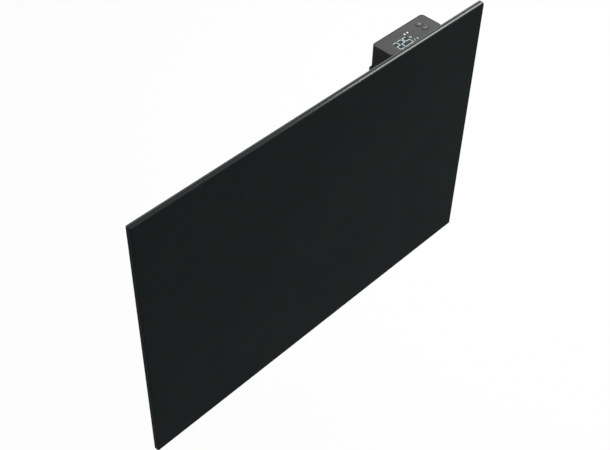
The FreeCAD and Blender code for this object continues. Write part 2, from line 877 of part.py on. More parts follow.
def display_marks():
    """The lit digits of a plain temperature, and the small signs beside them."""
    two = ("top", "upper_right", "middle", "lower_left", "bottom")
    five = ("top", "upper_left", "middle", "lower_right", "bottom")
    level = fascia_top - mark_depth
    bars = []
    for place, lit in enumerate((two, two, five)):
        bars += digit_bars(digit_x + place * digit_pitch, lit)
    point_x = last_digit_x - digit_pitch / 2
    point_y = digit_y - digit_height / 2 + point_radius
    bars.append(rod((point_x, point_y, level), ALONG_Z, point_radius, mark_depth))
    sign_x = last_digit_x + digit_pitch / 2 + degree_radius + sign_gap
    sign_y = digit_y + digit_height / 4 - sign_drop
    ring = rod((sign_x, sign_y, level), ALONG_Z, degree_radius, mark_depth)
    ring = ring.cut(rod((sign_x, sign_y, level), ALONG_Z, degree_radius - degree_stroke, mark_depth))
    slant = Vector(1, 1, 0).normalize()
    low_y = digit_y - digit_height / 4 - sign_drop
    stroke = stadium((sign_x, low_y), slant, sign_length, degree_stroke, level, fascia_top)
    dot = rod((sign_x + sign_length, low_y, level), ALONG_Z, sign_dot_radius, mark_depth)
    return bars, [ring, stroke, dot]


def lamp_places():
    """The two status lamps behind the digits."""
    first = control_left + lamp_left
    y = control_front + lamp_front
    return [(first, y), (first + lamp_pitch, y)]


def key_places():
    """The two keys, one behind the other: minus in front, plus behind."""
    return {"minus": (key_x, key_middle - key_pitch / 2), "plus": (key_x, key_middle + key_pitch / 2)}


def fascia_and_marks():
    """The smoked plate on top of the box, with the digits, signs and lamps let into it."""
    bars, signs = display_marks()
    fascia = control_outline(fascia_rim + fascia_gap, fascia_under, fascia_top,
                             control_corner - fascia_rim - fascia_gap)
    lamps = [rod((x, y, board_top), ALONG_Z, lamp_radius, fascia_top - board_top) for x, y in lamp_places()]
    cuts = bars + signs + lamps
    for place in key_places().values():
        length = key_length + 2 * key_gap
        cuts.append(stadium(place, ALONG_X, length, key_width + 2 * key_gap, fascia_under, fascia_top))
    return {
        "control_fascia": fascia.cut(Part.makeCompound(cuts)),
        "display_digits": Part.makeCompound(bars),
        "display_signs": Part.makeCompound(signs),
        "status_lamps": Part.makeCompound(lamps),
    }


def keys():
    """The two push keys, their raised signs and the switches below them."""
    found = {}
    switches = []
    flange_top = fascia_under - key_under_gap
    flange_low = flange_top - key_flange_height
    cap_top = fascia_top + key_proud
    mark_low = cap_top - key_mark_depth
    for name, place in key_places().items():
        cap = stadium(place, ALONG_X, key_length, key_width, flange_top, cap_top)
        cap = cap.makeFillet(key_proud / 2, rim_edges(cap, "Z", cap_top))
        flange = stadium(place, ALONG_X, key_length + 2 * key_flange, key_width + 2 * key_flange,
                         flange_low, flange_top)
        stem_low = flange_low - key_stem_height
        stem = rod((place[0], place[1], stem_low), ALONG_Z, key_stem_radius, key_stem_height)
        mark = stadium(place, ALONG_X, key_mark_length, key_mark_stroke, mark_low, cap_top)
        if name == "plus":
            cross_stroke = stadium(place, ALONG_Y, key_mark_length, key_mark_stroke, mark_low, cap_top)
            mark = mark.fuse(cross_stroke).removeSplitter()
        found[name + "_key"] = cap.fuse([flange, stem]).removeSplitter().cut(mark)
        found[name + "_sign"] = mark
        half = switch_side / 2
        body = block((place[0] - half, place[1] - half, board_top),
                     (place[0] + half, place[1] + half, board_top + switch_height))
        switch_top = (place[0], place[1], board_top + switch_height)
        plunger = rod(switch_top, ALONG_Z, plunger_radius, plunger_height)
        switches.append(body.fuse(plunger).removeSplitter())
    found["key_switches"] = Part.makeCompound(switches)
    return found


def display_board():
    """The display board with its screws, digit module and ribbon lead down to the power board."""
    inset = control_wall + board_gap
    board = control_outline(inset, board_under, board_top, control_corner - control_wall)
    screws = []
    screw_length = board_sheet + (fascia_under - board_top) / 2 - fastener_gap
    for x, y in boss_places():
        board = board.cut(rod((x, y, board_under), ALONG_Z, small_screw_radius + fastener_gap, board_sheet))
        screws.append(screw((x, y, board_under), ALONG_Z, small_screw_radius, screw_length,
                            small_head_radius, small_head_height))
    row_x = (digit_x + last_digit_x) / 2
    reach_x = (last_digit_x - digit_x + digit_width) / 2 + digit_module_rim
    module_front = control_front + fascia_rim + ledge_width + digit_module_gap
    module_back = digit_y + digit_height / 2 + digit_module_rim
    module = block((row_x - reach_x, module_front, board_top),
                   (row_x + reach_x, module_back, fascia_under - digit_module_gap))
    half_x = ribbon_width / 2 + header_rim
    upper_low = board_under - header_height
    upper = block((ribbon_x - half_x, bay_middle - header_rim, upper_low),
                  (ribbon_x + half_x, bay_middle + header_rim, board_under))
    lower_top = power_top - header_drop
    lower = block((ribbon_x - half_x, bay_middle - header_rim, lower_top - header_height),
                  (ribbon_x + half_x, power_front, lower_top))
    ribbon = block((ribbon_x - ribbon_width / 2, bay_middle - ribbon_sheet / 2, lower_top),
                   (ribbon_x + ribbon_width / 2, bay_middle + ribbon_sheet / 2, upper_low))
    return {
        "display_board": board,
        "display_board_screws": Part.makeCompound(screws),
        "digit_module": module,
        "ribbon_headers": Part.makeCompound([upper, lower]),
        "ribbon_lead": ribbon,
    }


def control_fasteners():
    """The screws of the control box's ears and cover."""
    base_length = base_thickness + casing_sheet + screw_tip
    base_screws = []
    for x, y in ear_screw_places():
        base_screws.append(screw((x, y, control_bottom), ALONG_Z * -1, small_screw_radius, base_length,
                                 small_head_radius, small_head_height))
    cover_screws = []
    for place in cover_screw_places():
        cover_screws.append(screw(place, ALONG_Y * -1, small_screw_radius, post_screw_length - fastener_gap,
                                  small_head_radius, small_head_height))
    return {
        "control_base_screws": Part.makeCompound(base_screws),
        "control_cover_screws": Part.makeCompound(cover_screws),
    }


def power_board():
    """The power board on its standoffs, with relay, supply, capacitor, lead clamp and plug."""
    board = block((power_left, power_front, power_bottom), (power_right, power_back, power_top))
    standoffs = []
    screws = []
    hole_radius = small_screw_radius + fastener_gap
    for x, z in standoff_places():
        board = board.cut(rod((x, power_front, z), ALONG_Y, hole_radius, board_sheet))
        standoff = rod((x, power_back, z), ALONG_Y, standoff_radius, standoff_height)
        screw_hole = rod((x, power_back, z), ALONG_Y, hole_radius, standoff_height - standoff_floor)
        standoffs.append(standoff.cut(screw_hole))
        length = board_sheet + standoff_height - standoff_floor - standoff_screw_gap
        screws.append(screw((x, power_front, z), ALONG_Y, small_screw_radius, length,
                            small_head_radius, small_head_height))
    relay_x = power_right - relay_inset - relay_length
    relay_z = power_bottom + relay_rise
    relay = rounded_block((relay_x, power_front - relay_height, relay_z),
                          (relay_x + relay_length, power_front, relay_z + relay_width),
                          ALONG_Y, component_corner)
    supply_x = power_left + supply_inset
    supply_z = power_bottom + supply_rise
    supply = rounded_block((supply_x, power_front - supply_height, supply_z),
                           (supply_x + supply_width, power_front, supply_z + supply_length),
                           ALONG_Y, component_corner)
    capacitor = rod((relay_x + relay_length / 2, power_front, supply_z + supply_length / 2), ALONG_Y * -1,
                    capacitor_radius, capacitor_height)
    capacitor_end = rim_edges(capacitor, "Y", power_front - capacitor_height)
    capacitor = capacitor.makeFillet(component_corner, capacitor_end)
    clamp = block((power_left, power_front - clamp_depth, clamp_bottom),
                  (power_left + clamp_width, power_front, clamp_bottom + clamp_height))
    plug = block((plug_right - plug_width, power_front - clamp_depth, power_bottom),
                 (plug_right, power_front, power_bottom + plug_height))
    return {
        "power_board": board,
        "board_standoffs": Part.makeCompound(standoffs),
        "power_board_screws": Part.makeCompound(screws),
        "relay": relay,
        "power_supply": supply,
        "capacitor": capacitor,
        "lead_clamp": clamp,
        "lead_plug": plug,
    }


def inlet():
    """The cord gland with its nut, the terminal block, the earth stud and the room sensor."""
    bottom = -casing_top
    collar_low = bottom - gland_collar_height
    gland = rod((gland_x, bay_middle, collar_low), ALONG_Z, gland_collar_radius, gland_collar_height)
    gland = gland.makeFillet(gland_collar_height / 3, rim_edges(gland, "Z", collar_low))
    neck_height = casing_sheet + gland_inner_height
    gland = gland.fuse(rod((gland_x, bay_middle, bottom), ALONG_Z, gland_radius, neck_height))
    bore_length = gland_collar_height + neck_height
    cord_bore = rod((gland_x, bay_middle, collar_low), ALONG_Z, gland_bore, bore_length)
    gland = gland.removeSplitter().cut(cord_bore)
    inside = bottom + casing_sheet
    nut = hexagon((gland_x, bay_middle, inside), ALONG_Z, gland_nut_flats, gland_nut_height)
    nut = nut.cut(rod((gland_x, bay_middle, inside), ALONG_Z, gland_radius + fastener_gap, gland_nut_height))
    sensor = rod((sensor_x, bay_middle, bottom - sensor_collar_height), ALONG_Z,
                 sensor_collar_radius, sensor_collar_height)
    tip_low = bottom - sensor_collar_height - sensor_tip_height
    tip = rod((sensor_x, bay_middle, tip_low), ALONG_Z, sensor_tip_radius, sensor_tip_height)
    tip = tip.makeFillet(sensor_tip_round, rim_edges(tip, "Z", tip_low))
    neck = rod((sensor_x, bay_middle, bottom), ALONG_Z, sensor_radius, casing_sheet + sensor_inner_height)
    sensor = sensor.fuse([tip, neck]).removeSplitter()
    terminal_block = block((gland_x - block_width / 2, cavity_back - block_depth, block_bottom),
                           (gland_x + block_width / 2, cavity_back, block_top))
    well_top = cavity_back - block_depth
    well_z = block_bottom + block_height / 2
    for pole in (-1, 0, 1):
        x = gland_x + pole * block_pitch
        well = rod((x, well_top, well_z), ALONG_Y, block_well_radius, block_well_depth)
        terminal_block = terminal_block.cut(well)
    stud = rod((earth_x, cavity_back - earth_length, earth_z), ALONG_Y, earth_radius, earth_length)
    lug_back = bay_middle + earth_lug_sheet / 2
    lug = rod((earth_x, lug_back - earth_lug_sheet, earth_z), ALONG_Y, earth_lug_radius, earth_lug_sheet)
    tail = block((earth_x, lug_back - earth_lug_sheet, earth_z - lead_radius),
                 (earth_x + earth_lug_tail, lug_back, earth_z + lead_radius))
    bore = earth_radius + fastener_gap
    lug_bore = rod((earth_x, lug_back - earth_lug_sheet, earth_z), ALONG_Y, bore, earth_lug_sheet)
    lug = lug.fuse(tail).removeSplitter().cut(lug_bore)
    nuts = []
    for nut_start, direction in ((lug_back, ALONG_Y), (lug_back - earth_lug_sheet, ALONG_Y * -1)):
        start = (earth_x, nut_start, earth_z)
        earth_nut = hexagon(start, direction, earth_nut_flats, earth_nut_height)
        nuts.append(earth_nut.cut(rod(start, direction, bore, earth_nut_height)))
    return {
        "cord_gland": gland,
        "gland_nut": nut,
        "room_sensor": sensor,
        "terminal_block": terminal_block,
        "earth_stud": stud,
        "earth_lug": lug,
        "earth_nuts": Part.makeCompound(nuts),
    }


def mains_switch():
    """The rocker switch in the casing's right wall: frame, blades and the rocker on its pins."""
    y = bay_middle
    bezel_face = casing_right + rocker_bezel_depth
    body_end = casing_right - rocker_body_depth
    half_bezel_y = rocker_bezel_width / 2
    half_bezel_z = rocker_bezel_height / 2
    bezel = rounded_block((casing_right, y - half_bezel_y, rocker_z - half_bezel_z),
                          (bezel_face, y + half_bezel_y, rocker_z + half_bezel_z),
                          ALONG_X, rocker_bezel_corner)
    half_y = rocker_body_width / 2
    half_z = rocker_body_height / 2
    body = block((body_end, y - half_y, rocker_z - half_z), (casing_right, y + half_y, rocker_z + half_z))
    well = block((body_end + rocker_floor, y - half_y + rocker_wall, rocker_z - half_z + rocker_wall),
                 (bezel_face, y + half_y - rocker_wall, rocker_z + half_z - rocker_wall))
    pivot_x = casing_right - rocker_pivot_depth
    pin_half = half_y - rocker_wall + rocker_pin_reach
    pin_hole = rod((pivot_x, y - pin_half - fastener_gap, rocker_z), ALONG_Y,
                   rocker_pin_radius + fastener_gap, 2 * (pin_half + fastener_gap))
    frame = bezel.fuse(body).removeSplitter().cut(well.fuse(pin_hole))
    half_length = rocker_length / 2
    outline = [
        (-rocker_root, -half_length),
        (rocker_rise, -half_length),
        (rocker_rise - rocker_dip, 0.0),
        (rocker_rise, half_length),
        (-rocker_root, half_length),
        (-rocker_root, -half_length),
    ]
    half_rocker = half_y - rocker_wall - rocker_gap
    points = [Vector(pivot_x + across, y - half_rocker, rocker_z + along) for across, along in outline]
    rocker = Part.Face(Part.makePolygon(points)).extrude(Vector(0, 2 * half_rocker, 0))
    rocker = rocker.makeFillet(rocker_round, edges_along(rocker, ALONG_Y))
    pins = rod((pivot_x, y - pin_half, rocker_z), ALONG_Y, rocker_pin_radius, 2 * pin_half)
    rocker = rocker.fuse(pins).removeSplitter()
    rocker.rotate(Vector(pivot_x, y, rocker_z), ALONG_Y, rocker_tilt)
    blades = []
    for side in (-1, 1):
        z = rocker_z + side * blade_spacing / 2
        blades.append(block((body_end - blade_length, y - blade_width / 2, z - blade_sheet / 2),
                            (body_end, y + blade_width / 2, z + blade_sheet / 2)))
    return {"rocker_frame": frame, "rocker": rocker, "rocker_blades": Part.makeCompound(blades)}


def leads():
    """The leads between the element, the cut-out, the boards, the switch, the inlet and the sensor."""
    y = bay_middle
    post_top = lip_inside + terminal_height
    far_x = power_left - lead_margin
    near_x = far_x - lead_spacing
    clamp_low = clamp_bottom + (clamp_height - clamp_pitch) / 2
    clamp_high = clamp_low + clamp_pitch
    cutout_left = cutout_x - cutout_post_spacing / 2
    cutout_right = cutout_x + cutout_post_spacing / 2
    heater = [
        lead([(cutout_right, post_top, cutout_z), (cutout_right, y, cutout_z), (far_x, y, cutout_z),
              (far_x, y, clamp_high), (power_left, y, clamp_high)], lead_radius),
        lead([(cutout_left, post_top, cutout_z), (cutout_left, y, cutout_z), (cutout_left, y, track_run),
              (terminal_x, y, track_run), (terminal_x, post_top, track_run)], lead_radius),
        lead([(terminal_x, post_top, -track_run), (terminal_x, y, -track_run), (near_x, y, -track_run),
              (near_x, y, clamp_low), (power_left, y, clamp_low)], lead_radius),
    ]
    plug_middle = plug_right - plug_width / 2
    blade_end = casing_right - rocker_body_depth - blade_length
    low_blade = rocker_z - blade_spacing / 2
    high_blade = rocker_z + blade_spacing / 2
    live_x = gland_x + block_pitch
    neutral_turn = power_bottom - neutral_drop
    neutral_x = plug_middle - plug_pitch
    supply = [
        lead([(live_x, y, block_top), (live_x, y, low_blade), (blade_end, y, low_blade)], lead_radius),
        lead([(blade_end, y, high_blade), (plug_middle, y, high_blade), (plug_middle, y, power_bottom)],
             lead_radius),
        lead([(gland_x, y, block_top), (gland_x, y, neutral_turn), (neutral_x, y, neutral_turn),
              (neutral_x, y, power_bottom)], lead_radius),
    ]
    earth_start = gland_x - block_pitch
    lug_end = earth_x + earth_lug_tail
    earth = lead([(earth_start, y, block_top), (earth_start, y, earth_z), (lug_end, y, earth_z)], lead_radius)
    front_y = y - sensor_lead_offset
    sensor_top = -casing_top + casing_sheet + sensor_inner_height
    sensor_turn = sensor_top + sensor_lead_rise
    step_top = sensor_turn + sensor_lead_rise
    sensor = lead([(sensor_x, y, sensor_top), (sensor_x, y, sensor_turn), (sensor_x, front_y, step_top),
                   (plug_middle + plug_pitch, front_y, step_top + sensor_lead_slant),
                   (plug_middle + plug_pitch, front_y, power_bottom)], sensor_lead_radius)
    return {
        "heater_leads": Part.makeCompound(heater),
        "supply_leads": Part.makeCompound(supply),
        "earth_lead": earth,
        "sensor_lead": sensor,
    }


def rating_plate():
    """A bare plate on the casing's back."""
    centre_x = (power_left + power_right) / 2
    centre_z = -vent_row_z
    return rounded_block((centre_x - plate_width / 2, casing_back, centre_z - plate_height / 2),
                         (centre_x + plate_width / 2, casing_back + plate_sheet, centre_z + plate_height / 2),
                         ALONG_Y, plate_corner)


def heater():
    """Every piece of the heater, by name."""
    pieces = {
        "front_panel": front_panel(),
        "rear_casing": rear_casing(),
        "casing_screws": casing_fasteners(),
        "rating_plate": rating_plate(),
        "control_base": control_base(),
        "control_cover": control_cover(),
    }
    for group in (bracket, heating_layers, hangers, fascia_and_marks, keys, display_board, control_fasteners,
                  power_board, inlet, mains_switch, leads):
        pieces.update(group())
    return pieces


os.makedirs("parts", exist_ok=True)
for name, shape in heater().items():
    shape.exportStep("parts/" + name + ".step")
    print(name, len(shape.Solids), round(shape.Volume, 1), shape.isValid())
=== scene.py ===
"""Dresses a wall-hung panel heater, lights it softly and shows it from the front left above."""
import json
import logging
import math
from dataclasses import dataclass, replace
from enum import Enum
from typing import Any, NamedTuple, Optional, Sequence, Union

import bmesh
import bpy
from mathutils import Matrix, Vector


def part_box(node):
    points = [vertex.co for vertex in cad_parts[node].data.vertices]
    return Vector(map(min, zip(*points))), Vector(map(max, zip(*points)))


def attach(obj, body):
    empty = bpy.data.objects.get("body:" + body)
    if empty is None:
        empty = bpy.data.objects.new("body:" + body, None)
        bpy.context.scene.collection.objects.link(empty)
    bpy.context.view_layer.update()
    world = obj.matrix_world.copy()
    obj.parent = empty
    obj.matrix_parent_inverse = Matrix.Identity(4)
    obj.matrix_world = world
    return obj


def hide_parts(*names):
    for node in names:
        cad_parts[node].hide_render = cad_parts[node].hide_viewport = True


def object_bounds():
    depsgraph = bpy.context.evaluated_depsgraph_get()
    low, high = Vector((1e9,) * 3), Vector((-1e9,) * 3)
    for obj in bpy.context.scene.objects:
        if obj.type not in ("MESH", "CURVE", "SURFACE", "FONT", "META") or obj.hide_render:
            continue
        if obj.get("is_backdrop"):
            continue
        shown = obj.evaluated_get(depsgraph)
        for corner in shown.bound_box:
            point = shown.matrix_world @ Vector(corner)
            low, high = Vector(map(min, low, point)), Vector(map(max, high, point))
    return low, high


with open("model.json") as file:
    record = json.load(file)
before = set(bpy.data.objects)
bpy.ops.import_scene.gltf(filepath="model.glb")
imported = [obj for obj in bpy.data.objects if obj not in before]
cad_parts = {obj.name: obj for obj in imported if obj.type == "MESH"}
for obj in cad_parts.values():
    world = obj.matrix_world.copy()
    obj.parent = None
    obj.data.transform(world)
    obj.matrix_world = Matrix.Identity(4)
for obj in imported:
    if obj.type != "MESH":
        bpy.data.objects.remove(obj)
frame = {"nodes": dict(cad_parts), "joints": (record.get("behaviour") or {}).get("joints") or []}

Colour = tuple[float, float, float]
Point = tuple[float, float, float]
Pair = tuple[float, float]
Number = Union[float, "Value"]
Feed = Union[Number, Colour, bpy.types.NodeSocket]

LOG = logging.getLogger("panel_heater")
MM = 0.001
WHITE: Colour = (1.0, 1.0, 1.0)
ZINC: Colour = (0.58, 0.60, 0.62)
STREAK = 12.0  # How many times finer streaks and fibres are across than along.
MOST: Pair = (0.3, 0.7)  # Where most of a noise lies between 0 and 1.
MIX_FIRST, MIX_SECOND, MIX_RESULT = 6, 7, 2  # The colour sockets of a Mix node.


class Body(Enum):
    """The rigid bodies that the scene's own pieces ride on."""

    HEATER = "heater"
    ROCKER = "mains_rocker"


class Slot(Enum):
    """Two of the record's finishes, by name; nothing in the script uses them."""

    GLAND = "gland_nylon"
    SIGN = "key_sign"


class Half(Enum):
    """The halves of the rocker's face, by their side of the pivot."""

    UPPER = 1
    LOWER = -1


class Spot(Enum):
    """What a surface's coordinates tell of a point."""

    PLACE = "Object"
    FACING = "Normal"


class Axis(Enum):
    """The direction in which a sheet was rolled or drawn, as the fineness of its streaks."""

    X = (1.0, STREAK, STREAK)
    Y = (STREAK, 1.0, STREAK)
    Z = (STREAK, STREAK, 1.0)


class Value:
    """A number that changes over a surface, written as a Python expression."""

    def __init__(self, graph: "Graph", socket: bpy.types.NodeSocket) -> None:
        """Wraps one output socket of a graph."""
        self.graph = graph
        self.socket = socket

    def _math(self, operation: str, first: Number, second: Number = 0.0) -> "Value":
        """Adds one Math node.

        Args:
            operation: The node's operation.
            first: Its first number.
            second: Its second number.

        Returns:
            The node's result.
        """
        inputs = {0: first, 1: second}
        made = self.graph.node("ShaderNodeMath", {"operation": operation}, inputs)
        return Value(self.graph, made.outputs[0])

    def __add__(self, other: Number) -> "Value":
        """The sum."""
        return self._math("ADD", self, other)

    def __radd__(self, other: Number) -> "Value":
        """The sum, number first."""
        return self._math("ADD", other, self)

    def __sub__(self, other: Number) -> "Value":
        """The difference."""
        return self._math("SUBTRACT", self, other)

    def __rsub__(self, other: Number) -> "Value":
        """The difference, number first."""
        return self._math("SUBTRACT", other, self)

    def __mul__(self, other: Number) -> "Value":
        """The product."""
        return self._math("MULTIPLY", self, other)

    def __rmul__(self, other: Number) -> "Value":
        """The product, number first."""
        return self._math("MULTIPLY", other, self)

    def __abs__(self) -> "Value":
        """The size without its sign."""
        return self._math("ABSOLUTE", self)

    def highest(self, other: Number) -> "Value":
        """The larger of two numbers."""
        return self._math("MAXIMUM", self, other)

    def wave(self) -> "Value":
        """The sine."""
        return self._math("SINE", self)

    def root(self) -> "Value":
        """The square root."""
        return self._math("SQRT", self)

    def around(self, middle: float, swing: float) -> "Value":
        """A number that swings about a middle while this one goes from 0 to 1."""
        return middle + (self - 0.5) * swing

    def ramp(self, span: Pair) -> "Value":
        """A number that goes smoothly from 0 to 1 while this one crosses a span.

        Args:
            span: Where it leaves 0 and where it reaches 1.

        Returns:
            The smooth number.
        """
        made = self.graph.node(
            "ShaderNodeMapRange",
            {"interpolation_type": "SMOOTHSTEP"},
            {"Value": self, "From Min": span[0], "From Max": span[1]},
        )
        return Value(self.graph, made.outputs[0])


class Graph:
    """A node graph."""

    def __init__(self, owner: Union[bpy.types.Material, bpy.types.World]) -> None:
        """Empties a graph.

        Args:
            owner: The material or the surroundings that it belongs to.
        """
        owner.use_nodes = True
        self.tree = owner.node_tree
        self.tree.nodes.clear()

    def node(
        self, kind: str, settings: dict[str, Any], inputs: dict[Union[int, str], Feed]
    ) -> bpy.types.Node:
        """Adds any node.

        Args:
            kind: The node's type.
            settings: Its properties, set before its sockets.
            inputs: Numbers, colours or links for its sockets, by name or index.

        Returns:
            The new node.
        """
        made = self.tree.nodes.new(kind)
        for key, setting in settings.items():
            setattr(made, key, setting)
        for key, feed in inputs.items():
            self.feed(made.inputs[key], feed)
        return made

    def feed(self, socket: bpy.types.NodeSocket, feed: Feed) -> None:
        """Gives a socket what it takes.

        Args:
            socket: The socket.
            feed: A link, a colour or a number.
        """
        if isinstance(feed, Value):
            self.tree.links.new(feed.socket, socket)
        elif isinstance(feed, bpy.types.NodeSocket):
            self.tree.links.new(feed, socket)
        elif isinstance(feed, tuple) and socket.type == "RGBA":
            socket.default_value = (*feed, 1.0)
        else:
            socket.default_value = feed

    def seen(self) -> Value:
        """Tells rays that show a thing from rays that only light another by it.

        Returns:
            1 where the thing is seen directly, in a mirror or through glass, and else 0.
        """
        path = self.node("ShaderNodeLightPath", {}, {})
        camera = Value(self, path.outputs["Is Camera Ray"])
        mirror = Value(self, path.outputs["Is Glossy Ray"])
        glass = Value(self, path.outputs["Is Transmission Ray"])
        return camera.highest(mirror).highest(glass)


@dataclass(frozen=True)
class Noise:
    """Soft noise from 0 to 1.

    Attributes:
        scale: Waves to the metre.
        detail: How many finer waves are added.
    """

    scale: float
    detail: float = 2.0


def shade(colour: Colour, factor: float) -> Colour:
    """A colour made lighter or darker by a factor."""
    return colour[0] * factor, colour[1] * factor, colour[2] * factor


class Surface(Graph):
    """The node graph of one surface."""

    def __init__(self, name: str) -> None:
        """Starts a surface with its shader and output.

        Args:
            name: The material's name.
        """
        self.material = bpy.data.materials.new(name)
        super().__init__(self.material)
        self.shader = self.node("ShaderNodeBsdfPrincipled", {}, {})
        shown = {"Surface": self.shader.outputs[0]}
        self.output = self.node("ShaderNodeOutputMaterial", {}, shown)
        self.spot = self.node("ShaderNodeTexCoord", {}, {})
        self.place = self.spot.outputs[Spot.PLACE.value]

    def set(self, **inputs: Feed) -> None:
        """Feeds the shader's own sockets, with underscores for the spaces in their names."""
        for key, feed in inputs.items():
            self.feed(self.shader.inputs[key.replace("_", " ")], feed)

    def axes(self, spot: Spot = Spot.PLACE) -> tuple[Value, ...]:
        """The three coordinates of a point's place or facing."""
        made = self.node("ShaderNodeSeparateXYZ", {}, {0: self.spot.outputs[spot.value]})
        return tuple(Value(self, made.outputs[place]) for place in range(3))

    def stretched(self, axis: Axis) -> bpy.types.NodeSocket:
        """The point's coordinates, stretched along an axis."""
        inputs = {0: self.place, 1: axis.value}
        return self.node("ShaderNodeVectorMath", {"operation": "MULTIPLY"}, inputs).outputs[0]

    def noise(self, noise: Noise, where: Optional[bpy.types.NodeSocket] = None) -> Value:
        """Lays noise over the surface.

        Args:
            noise: The noise.
            where: The coordinates, the point's own if left out.

        Returns:
            The noise at a point.
        """
        inputs = {"Vector": where or self.place, "Scale": noise.scale, "Detail": noise.detail}
        return Value(self, self.node("ShaderNodeTexNoise", {}, inputs).outputs[0])

    def flakes(self, scale: float) -> tuple[Value, bpy.types.NodeSocket]:
        """Divides the surface into flakes.

        Args:
            scale: Flakes to the metre.

        Returns:
            The distance to the flake's middle, and a colour for each flake.
        """
        made = self.node("ShaderNodeTexVoronoi", {}, {"Vector": self.place, "Scale": scale})
        return Value(self, made.outputs["Distance"]), made.outputs["Color"]

    def mix(self, share: Number, first: Feed, second: Feed) -> bpy.types.NodeSocket:
        """Blends two colours, with share as the part of the second."""
        inputs = {0: share, MIX_FIRST: first, MIX_SECOND: second}
        return self.node("ShaderNodeMix", {"data_type": "RGBA"}, inputs).outputs[MIX_RESULT]

    def toned(self, share: Number, colour: Colour, tones: Pair) -> bpy.types.NodeSocket:
        """A colour that goes from the first of two tones to the second."""
        return self.mix(share, shade(colour, tones[0]), shade(colour, tones[1]))

    def bump(self, height: Value, depth: float) -> None:
        """Raises the surface by a height from 0 to 1 times a depth in metres."""
        made = self.node("ShaderNodeBump", {}, {"Height": height, "Distance": depth})
        self.feed(self.shader.inputs["Normal"], made.outputs[0])


@dataclass(frozen=True)
class Finish:
    """One surface finish.

    Attributes:
        name: The finish's name.
        colour: Its main colour.
    """

    name: str
    colour: Colour

    def material(self) -> bpy.types.Material:
        """Makes the finish's material the first time it is asked for.

        Returns:
            The material.
        """
        label = f"{self.name}_finish"
        known = bpy.data.materials.get(label)
        if known is not None:
            return known
        graph = Surface(label)
        self.wire(graph)
        return graph.material

    def wire(self, graph: Surface) -> None:
        """Adds the finish's nodes to a graph."""
        raise NotImplementedError


@dataclass(frozen=True)
class Gloss:
    """How much a coat mirrors on each side of a folded sheet, from 0 to 1.

    Attributes:
        face: On the front and back.
        side: On the left and right sides.
        rim: On the upper rim.
        bend: On the rim's front bend, where the coat has flowed out smooth.
        arris: Along the rim's back edge.
        arris_span: Where the back edge begins and is full, on the line to the wall, in metres.
        index: The coat's refractive index.
        turned: How far a surface has turned when it begins to count as a side, and when it does.
        level: The same for the rim's level part.
        forward: The same for leaning forward off that part.
        upward: The same for facing up at all.
    """

    face: float = 0.25
    side: float = 0.25
    rim: float = 0.35
    bend: float = 0.35
    arris: float = 0.35
    arris_span: Pair = (-0.0655, -0.0635)
    index: float = 1.5
    turned: Pair = (0.3, 0.8)
    level: Pair = (0.65, 0.9)
    forward: Pair = (0.03, 0.15)
    upward: Pair = (0.0, 0.3)

    def weight(self, graph: Surface) -> Value:
        """Finds the coat's weight from where the surface faces.

        Args:
            graph: The surface.

        Returns:
            The weight at a point.
        """
        aside, facing, rising = graph.axes(Spot.FACING)
        _, depth, _ = graph.axes()
        front_bend = rising.ramp(self.level) * (0.0 - facing).ramp(self.forward)
        back_edge = rising.ramp(self.upward) * depth.ramp(self.arris_span)
        weight = self.face + abs(aside).ramp(self.turned) * (self.side - self.face)
        weight = weight + rising.ramp(self.turned) * (self.rim - weight)
        weight = weight + front_bend * (self.bend - weight)
        return weight + back_edge * (self.arris - weight)


@dataclass(frozen=True)
class PowderCoat(Finish):
    """A baked powder coat with a fine grain.

    Attributes:
        roughness: How dull the coat's mirror image is.
        gloss: How much the coat mirrors.
        gloss_swing: How much of that comes and goes in the clouds.
        grain: The coat's grain.
        depth: How deep the grain is, in metres.
        clouds: The clouds in the coat.
        tones: The clouds' darkest and palest tone.
        base_roughness: How dull the colour under the mirror image is.
        base_swing: How much that comes and goes in the clouds.
        specks: The pale specks.
        speck_span: Where in their noise the specks begin and are full.
        speck_share: How much of a speck shows.
        speck_tone: The specks' tone.
    """

    roughness: float = 0.3
    gloss: Gloss = Gloss()
    gloss_swing: float = 0.1
    grain: Noise = Noise(1500.0)
    depth: float = 0.01 * MM
    clouds: Noise = Noise(9.0, 3.0)
    tones: Pair = (0.92, 1.08)
    base_roughness: float = 0.6
    base_swing: float = 0.08
    specks: Noise = Noise(3000.0, 1.0)
    speck_span: Pair = (0.62, 0.8)
    speck_share: float = 0.25
    speck_tone: float = 1.8

    def wire(self, graph: Surface) -> None:
        """Clouds the colour a little, dulls it unevenly and grains it.

        Args:
            graph: The surface.
        """
        cloud = graph.noise(self.clouds)
        speck = graph.noise(self.specks).ramp(self.speck_span)
        patch = graph.toned(cloud.ramp(MOST), self.colour, self.tones)
        pale = shade(self.colour, self.speck_tone)
        graph.set(
            Base_Color=graph.mix(speck * self.speck_share, patch, pale),
            Roughness=cloud.around(self.base_roughness, self.base_swing),
            Specular_IOR_Level=0.0,
            Coat_Weight=self.gloss.weight(graph) * cloud.around(1.0, self.gloss_swing),
            Coat_Roughness=self.roughness,
            Coat_IOR=self.gloss.index,
        )
        graph.bump(graph.noise(self.grain), self.depth)


